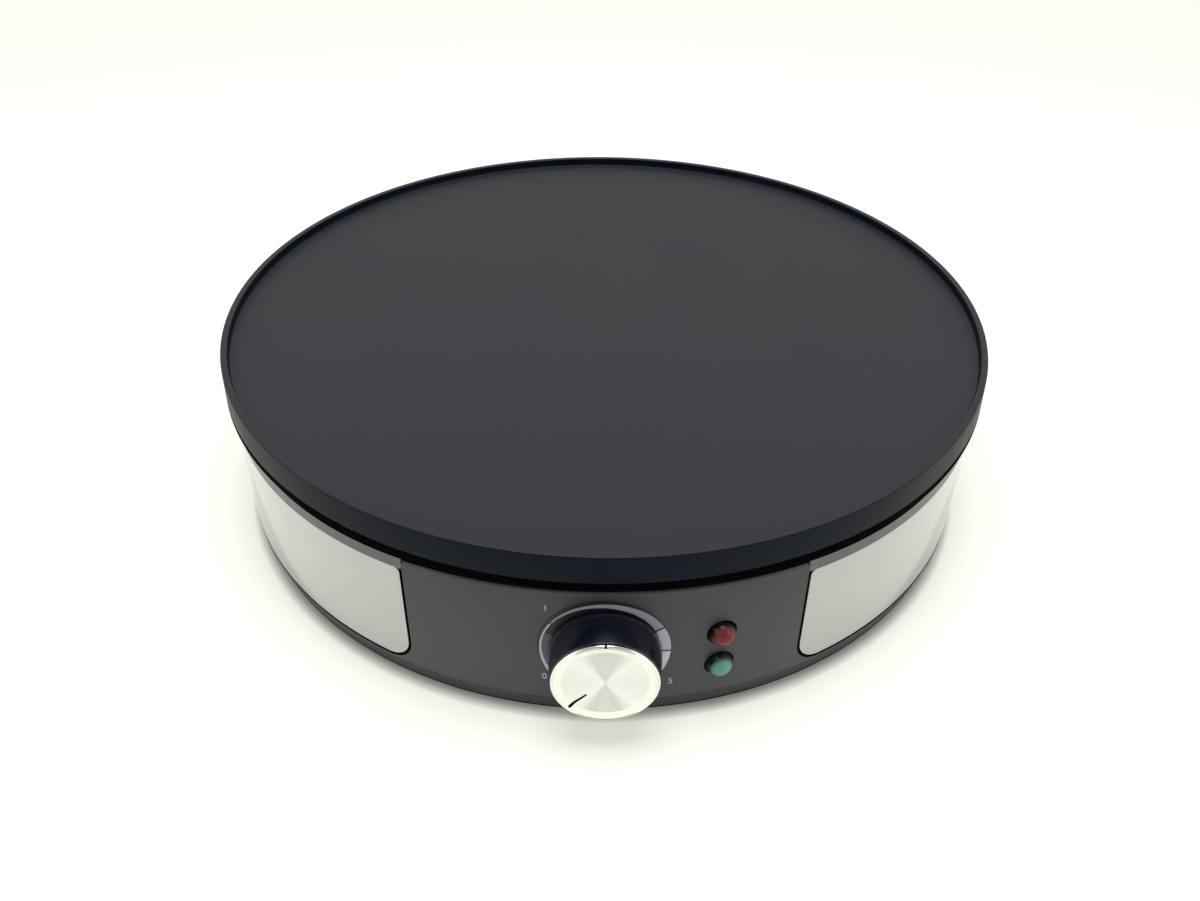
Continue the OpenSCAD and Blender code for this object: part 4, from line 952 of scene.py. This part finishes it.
notch_foot_r = groove_r - 0.3 * MM
slot_foot = CAP_T - DISH - POINTER_DEPTH
marks = block((-NOTCH_W / 2, notch_foot_r, CAP_T - NOTCH_DEPTH), (NOTCH_W / 2, cap_r + EDGE, CAP_T + EDGE))
join(marks, pointer_shape(CLEARANCE, slot_foot, CAP_T + EDGE))
face = solid_with(face, marks, "DIFFERENCE")
for part in face.faces:
    centre = part.calc_center_median()
    in_notch = abs(centre.x) < NOTCH_W / 2 + HAIR and centre.y > notch_foot_r - HAIR
    if in_notch and centre.z > ENAMEL_Z:
        part.material_index = 2
    elif math.hypot(centre.x, centre.y) > dish_r - HAIR:
        part.material_index = 1
piece("knob_face", outwards(face, 0, axis_z, foot_r=-seam_y), "dial", ["knob_cap"],
      [spun, diamond_cut, black_enamel])

pointer = pointer_shape(0, slot_foot, CAP_T)
for vert in pointer.verts:
    if vert.co.z > slot_foot + HAIR:
        vert.co.z = face_height(math.hypot(vert.co.x, vert.co.y)) - 2 * HAIR
piece("pointer_inlay", outwards(pointer, 0, axis_z, foot_r=-seam_y), "dial",
      ["knob_pointer"], [black_enamel])

# %% [markdown]
# ## Dial scale
# The scale is printed on the control panel: a slate crescent on the left, and over it a pale crescent that
# swells to the right, where the plate is hottest, broken at three places. Under both lies a black crescent,
# set off towards the upper left, where it darkens the panel past the scale. Two circles, one of them off
# centre, are bridged and given the ink's thickness, and bisecting them makes the breaks. The flat print is
# then pressed on the round panel.

# %% Ink
INK_TONES = {"grey": ("#9499A8", "#A0A5B3"), "pale": ("#C0C5D0", "#CACFD9"),
             "white": ("#DEE0F0", "#E8EAF8"), "slate": ("#4C5263", "#545A6B"),
             "black": ("#08090C", "#0C0D10")}
inks = {tone: finish(tone + "_screen_ink", dark, light, (0.45, 0.55), patch=4, grain=0.2,
                     depth=0.004) for tone, (dark, light) in INK_TONES.items()}

# %% Crescents of ink
INK_T = 0.1 * MM
SCALE_R = 21.3 * MM
SCALE_WIDE = 3.7 * MM
SCALE_NARROW = 0.6 * MM
SCALE_FROM = math.radians(-28)
SCALE_TO = math.radians(209)
BREAKS = [math.radians(a) for a in (-2, 28, 146)]
BREAK_W = 0.75 * MM
SLATE_FROM = math.radians(160)
MIDDLE = Vector((0, 0, 0))


def crescent(r, centre, inner_r, inner_centre, start=SCALE_FROM, end=SCALE_TO):
    """A flat ring between two circles in the XY plane, cut short at a start and an end."""
    bm = bmesh.new()
    for radius, place in ((r, centre), (inner_r, inner_centre)):
        bmesh.ops.create_circle(bm, cap_ends=False, radius=radius, segments=144,
                                matrix=Matrix.Translation(place))
    bmesh.ops.bridge_loops(bm, edges=bm.edges[:])
    for angle in (start, end):
        score(bm, towards(angle + QUARTER), [0])
    gap = [f for f in bm.faces if (math.atan2(*f.calc_center_median().yx) - start) % FULL > end - start]
    bmesh.ops.delete(bm, geom=gap, context="FACES")
    return bm


def broken(bm, angle):
    """Takes a narrow strip out of a crescent at an angle."""
    across = towards(angle + QUARTER)
    score(bm, across, (-BREAK_W / 2, BREAK_W / 2))
    strip = [f for f in bm.faces if f.calc_center_median().dot(towards(angle)) > 0
             and abs(f.calc_center_median().dot(across)) < BREAK_W / 2]
    bmesh.ops.delete(bm, geom=strip, context="FACES")


def printed(bm, thickness):
    """Gives a flat print its thickness and presses it on the control panel."""
    raise_faces(bm, (0, 0, thickness))
    for vert in bm.verts:
        x, up, lift = vert.co
        vert.co = (x, -math.sqrt((body_r + lift) ** 2 - x ** 2), axis_z + up)
    face_outwards(bm)
    return bm


# the black crescent is set off towards the upper left, where it darkens the panel past the scale
ground = crescent(SCALE_R + 0.25 * MM, towards(math.radians(112), 1.5 * MM), SCALE_R - SCALE_WIDE, MIDDLE)
piece("dark_ground_crescent", printed(ground, 0.3 * INK_T), "base", [], [inks["black"]])

slate = crescent(SCALE_R - 0.3 * MM, MIDDLE, SCALE_R - SCALE_WIDE, MIDDLE, SLATE_FROM, SCALE_TO)
piece("slate_print", printed(slate, 0.6 * INK_T), "base", [], [inks["slate"]])

scale = crescent(SCALE_R, MIDDLE, SCALE_R - (SCALE_WIDE + SCALE_NARROW) / 2,
                 towards(math.radians(155), (SCALE_WIDE - SCALE_NARROW) / 2))
for angle in BREAKS:
    broken(scale, angle)
for face in scale.faces:
    centre = face.calc_center_median()
    angle = math.atan2(centre.y, centre.x)
    face.material_index = (angle < BREAKS[0] or angle > BREAKS[2]) + (-QUARTER < angle < BREAKS[1])
piece("scale_print", printed(scale, INK_T), "base", ["dial_scale"],
      [inks["grey"], inks["pale"], inks["white"]])

# %% [markdown]
# Three plain figures stand by the scale. A text object gives their outlines, and is made a mesh first,
# because only a mesh can be bent round the panel vertex by vertex.

# %% Figures
FIGURE_SIZE = 3.64 * MM
FIGURE_PLACES = {"1": (-18.9 * MM, 51 * MM), "0": (-19.9 * MM, 19.3 * MM), "5": (21.8 * MM, 16.8 * MM)}
for figure, (x, z) in FIGURE_PLACES.items():
    name = "figure_" + figure
    outline = bpy.data.curves.new(name + "_outline", "FONT")
    outline.body = figure
    outline.size = FIGURE_SIZE
    outline.align_x = "CENTER"
    outline.align_y = "CENTER"
    outline.fill_mode = "FRONT"
    stand = add_object(name + "_outline", outline)
    flat = stand.evaluated_get(bpy.context.evaluated_depsgraph_get()).to_mesh()
    figure_mesh = bmesh.new()
    figure_mesh.from_mesh(flat)
    bpy.data.objects.remove(stand)
    bmesh.ops.remove_doubles(figure_mesh, verts=figure_mesh.verts, dist=1e-6)
    bmesh.ops.translate(figure_mesh, vec=(x, z - axis_z, 0), verts=figure_mesh.verts)
    piece(name, printed(figure_mesh, INK_T), "base", [], [inks["pale"]])

# %% [markdown]
# ## Pilot lamps
# Each lens is one moulding of tinted acrylic: a dome outside and a hollow stem inside that holds the lamp.
# Fine ribs inside the dome scatter the light. The dome's skirt is painted dark as painted shade, and more of
# the green one is. The dome is a quarter ellipse, spun with its stem.

# %% Tinted acrylic
# the second colour of each tint is painted shade, on the dome's skirt, up to the height that follows it
LENS_TINTS = {"red": ("#75302A", "#120607", 1.9 * MM), "green": ("#69A69A", "#0A2422", 2.5 * MM)}
LENS_FADE = 1.6 * MM
RIB_PITCH = 1.1 * MM


def acrylic(tint, foot_r):
    """Glossy tinted acrylic with ribs inside, painted dark up to a height over the lens's foot as painted
    shade.
    A wave texture's waves are a twentieth of its unit apart."""
    material, tree, coords = new_material(tint + "_acrylic")
    bright, deep, painted_shade_h = LENS_TINTS[tint]
    out_of_panel = towards(math.radians(LAMP_ANGLE) - QUARTER)
    height = add(tree, "VectorMath", {0: coords, 1: out_of_panel}, operation="DOT_PRODUCT").outputs["Value"]
    # painted shade: the dome is dark up to a height over its foot
    rise = add(tree, "MapRange", {"Value": height, 1: foot_r + painted_shade_h, 2: foot_r + painted_shade_h + LENS_FADE},
               interpolation_type="SMOOTHSTEP").outputs[0]
    colour = add(tree, "Mix", {0: rise, 6: linear(deep), 7: linear(bright)}, data_type="RGBA").outputs[2]
    ribs = add(tree, "TexWave", {"Vector": coords, "Scale": 1 / (20 * RIB_PITCH)}, bands_direction="X")
    relief = add(tree, "Bump", {"Height": ribs.outputs[1], "Strength": 1, "Distance": 0.08 * MM}).outputs[0]
    shader = add(tree, "BsdfPrincipled", {"Base Color": colour, "Roughness": 0.2, "IOR": 1.49,
                                          "Specular IOR Level": 0.25, "Normal": relief})
    add(tree, "OutputMaterial", {"Surface": shader.outputs[0]})
    return material


# %% Lenses
LENS_R = 4.7 * MM
STEM_R = 3.9 * MM
STEM_BORE_R = 2.9 * MM
STEM_L = 14 * MM
STEM_WEB = 1 * MM
LENS_EXTRA = 1.3 * MM
DOME_STEPS = 12
lens_front = max(-(lamp_turn @ v.co).y for v in frame["nodes"]["red_lamp_lens"].data.vertices)
lens_foot = body_r - LAMP_SEAT + CLEARANCE
lens_reach = lens_front + LENS_EXTRA - lens_foot
print("lens reaches", round(1000 * lens_reach, 2), "mm")
dome = [(LENS_R * math.sin(turn), lens_reach * math.cos(turn), 0)
        for turn in (QUARTER * step / DOME_STEPS for step in range(DOME_STEPS + 1))]
for tint, node in lamp_nodes.items():
    lens = turned(dome + [(STEM_R, 0, 0), (STEM_R, -STEM_L, 0.2 * MM), (STEM_BORE_R, -STEM_L, 0),
                          (STEM_BORE_R, -STEM_WEB, 0.8 * MM), (0, -STEM_WEB, 0)], steps=64)
    outwards(lens, LAMP_ANGLE, lamp_z[tint], foot_r=lens_foot)
    piece(tint + "_lens", lens, "base", [node], [acrylic(tint, lens_foot)])

# %% [markdown]
# ## Cord gland and feet
# At the rear the cord comes out through a ribbed gland of black nylon, and the whole thing stands on four
# rubber feet, each with a deep hole for its screw. Both are turned shapes like the knob.

# %% Nylon and rubber
nylon = finish("black_nylon", "#0D0D0F", "#131315", (0.38, 0.5), patch=8, grain=0.4,
               depth=0.015)
rubber = finish("black_rubber", "#101011", "#171717", (0.7, 0.85), patch=6, grain=0.5,
                depth=0.02, Specular_IOR_Level=0.3)

# %% Gland and feet
GLAND_IN = 12 * MM
GLAND_NECK_R = 8 * MM
GLAND_TIP_R = 6.2 * MM
GLAND_FLANGE_T = 2.5 * MM
GLAND_BORE_R = 3.8 * MM
RING_PITCH = 2.4 * MM
RING_W = 1 * MM
RING_DEPTH = 0.6 * MM
gland_flange_r = gland_box[1].x
gland_tip = gland_box[1].y - body_r
taper = (GLAND_NECK_R - GLAND_TIP_R) / (gland_tip - GLAND_FLANGE_T)
rings = []
for ring in (1, 2, 3):
    low = GLAND_FLANGE_T + ring * RING_PITCH
    neck_r = GLAND_NECK_R - taper * ring * RING_PITCH
    rings += [(neck_r, low, 0.15 * MM), (neck_r - RING_DEPTH, low, 0.1 * MM),
              (neck_r - RING_DEPTH, low + RING_W, 0.1 * MM), (neck_r, low + RING_W, 0.15 * MM)]
gland = turned([(GLAND_BORE_R, -GLAND_IN, 0.3 * MM), (GLAND_NECK_R, -GLAND_IN, 0.5 * MM),
                (GLAND_NECK_R, 0, 0), (gland_flange_r, 0, 0.2 * MM),
                (gland_flange_r, GLAND_FLANGE_T, 0.9 * MM), (GLAND_NECK_R, GLAND_FLANGE_T, 0.4 * MM),
                *rings, (GLAND_TIP_R, gland_tip, 0.8 * MM), (GLAND_BORE_R, gland_tip, 0.8 * MM)],
               steps=96, closed=True)
outwards(gland, 180, gland_z, foot_r=body_r)
piece("gland", gland, "base", ["cord_gland"], [nylon])

FOOT_WEB = 2.4 * MM
FOOT_BORE_R = 2 * MM
FOOT_WELL_R = 4.5 * MM
for node in ("foot_front_left", "foot_front_right", "foot_rear_left", "foot_rear_right"):
    foot_low, foot_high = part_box(node)
    foot_r = (foot_high.x - foot_low.x) / 2
    foot_h = foot_high.z
    foot = turned([(FOOT_BORE_R, foot_h, 0), (foot_r, foot_h, 0.3 * MM), (foot_r, 0, 1.2 * MM),
                   (FOOT_WELL_R, 0, 0.6 * MM), (FOOT_WELL_R, foot_h - FOOT_WEB, 0.3 * MM),
                   (FOOT_BORE_R, foot_h - FOOT_WEB, 0)], steps=64, closed=True)
    centre = (foot_low + foot_high) / 2
    bmesh.ops.translate(foot, vec=(centre.x, centre.y, 0), verts=foot.verts)
    piece(node.replace("foot", "rubber_foot"), foot, "base", [node], [rubber])

# %% [markdown]
# ## What stays CAD
# Everything that is left is fine as the CAD made it: pressed and turned metal, ceramics, wires. It is seen
# through the vents and from below, so each of the record's material slots gets a real finish all the same,
# and a loop puts it on the nodes of that slot.

# %% Finishes of the hidden parts
METAL = {"Metallic": 1}
GLASS = {"Transmission_Weight": 0.9}
HIDDEN = {  # slot: finish, dark, light, roughness, then patch, grain and depth in mm, and what else it has
    "zinc_plated": ("bright_zinc_plate", "#9FA3A6", "#B4B6B4", (0.3, 0.42), 12, 1.5, 0.004, METAL),
    "bright_aluminium": ("rolled_aluminium", "#C9CACB", "#D8D8D8", (0.2, 0.3), 40, 0.4, 0.003,
                         {"stretch": (60, 1, 1), **METAL}),
    "screw_steel": ("nickel_plated_steel", "#A9A8A4", "#BDBBB6", (0.25, 0.35), 3, 0.4, 0.004, METAL),
    "heater_sheath": ("heat_tinted_nickel_alloy", "#4C4640", "#6B5C4A", (0.4, 0.55), 25, 0.5, 0.01, METAL),
    "ceramic_white": ("unglazed_steatite", "#DAD5C8", "#E6E2D7", (0.6, 0.75), 6, 0.3, 0.02, {}),
    "brass_parts": ("rolled_brass", "#B8944B", "#CDAA62", (0.25, 0.4), 8, 0.3, 0.003,
                    {"stretch": (20, 1, 1), **METAL}),
    "brown_bakelite": ("brown_bakelite", "#2A1B14", "#38251B", (0.25, 0.4), 5, 0.6, 0.008, {}),
    "lamp_glass": ("soda_lime_glass", "#E9EDEA", "#F4F6F3", (0.03, 0.06), 5, 2, 0.002, GLASS),
    "brown_insulation": ("brown_silicone", "#5E3823", "#6B432C", (0.4, 0.5), 8, 0.5, 0.01, {}),
    "blue_insulation": ("blue_silicone", "#2A4C7C", "#33588C", (0.4, 0.5), 8, 0.5, 0.01, {}),
    "earth_insulation": ("green_yellow_silicone", "#5E8A2E", "#C9BE3A", (0.4, 0.5), 4, 0.5, 0.01, {}),
    "red_insulation": ("red_silicone", "#8E2F26", "#A03A30", (0.4, 0.5), 8, 0.5, 0.01, {}),
    "white_sleeving": ("glass_fibre_sleeving", "#CFCBC0", "#E2DFD6", (0.7, 0.85), 1.2, 0.4, 0.05, {}),
}
hidden = {"black_plastic": nylon}
for slot, (name, dark, light, roughness, patch, grain, depth, extra) in HIDDEN.items():
    hidden[slot] = finish(name, dark, light, roughness, patch, grain, depth, **extra)
standing_in = {node for made in scene.objects for node in made.get("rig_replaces", [])}
for part in frame["record"]["subparts"]:
    if part["node"] not in standing_in:
        node_mesh = frame["nodes"][part["node"]].data
        node_mesh.materials.clear()
        node_mesh.materials.append(hidden[part["material_slot"]])
print("CAD nodes that stay:", len(frame["nodes"]) - len(standing_in))

# %% [markdown]
# ## Sizes of the boxes
# Both boxes are printed: the CAD frame's, and that of everything in the scene that is not stage.

# %% Print the boxes
sizes = {"cad": [list(corner) for corner in cad_box], "visual": [list(corner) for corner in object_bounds()]}
for kind, box in sizes.items():
    print(kind, [round(1000 * value, 1) for corner in box for value in corner])
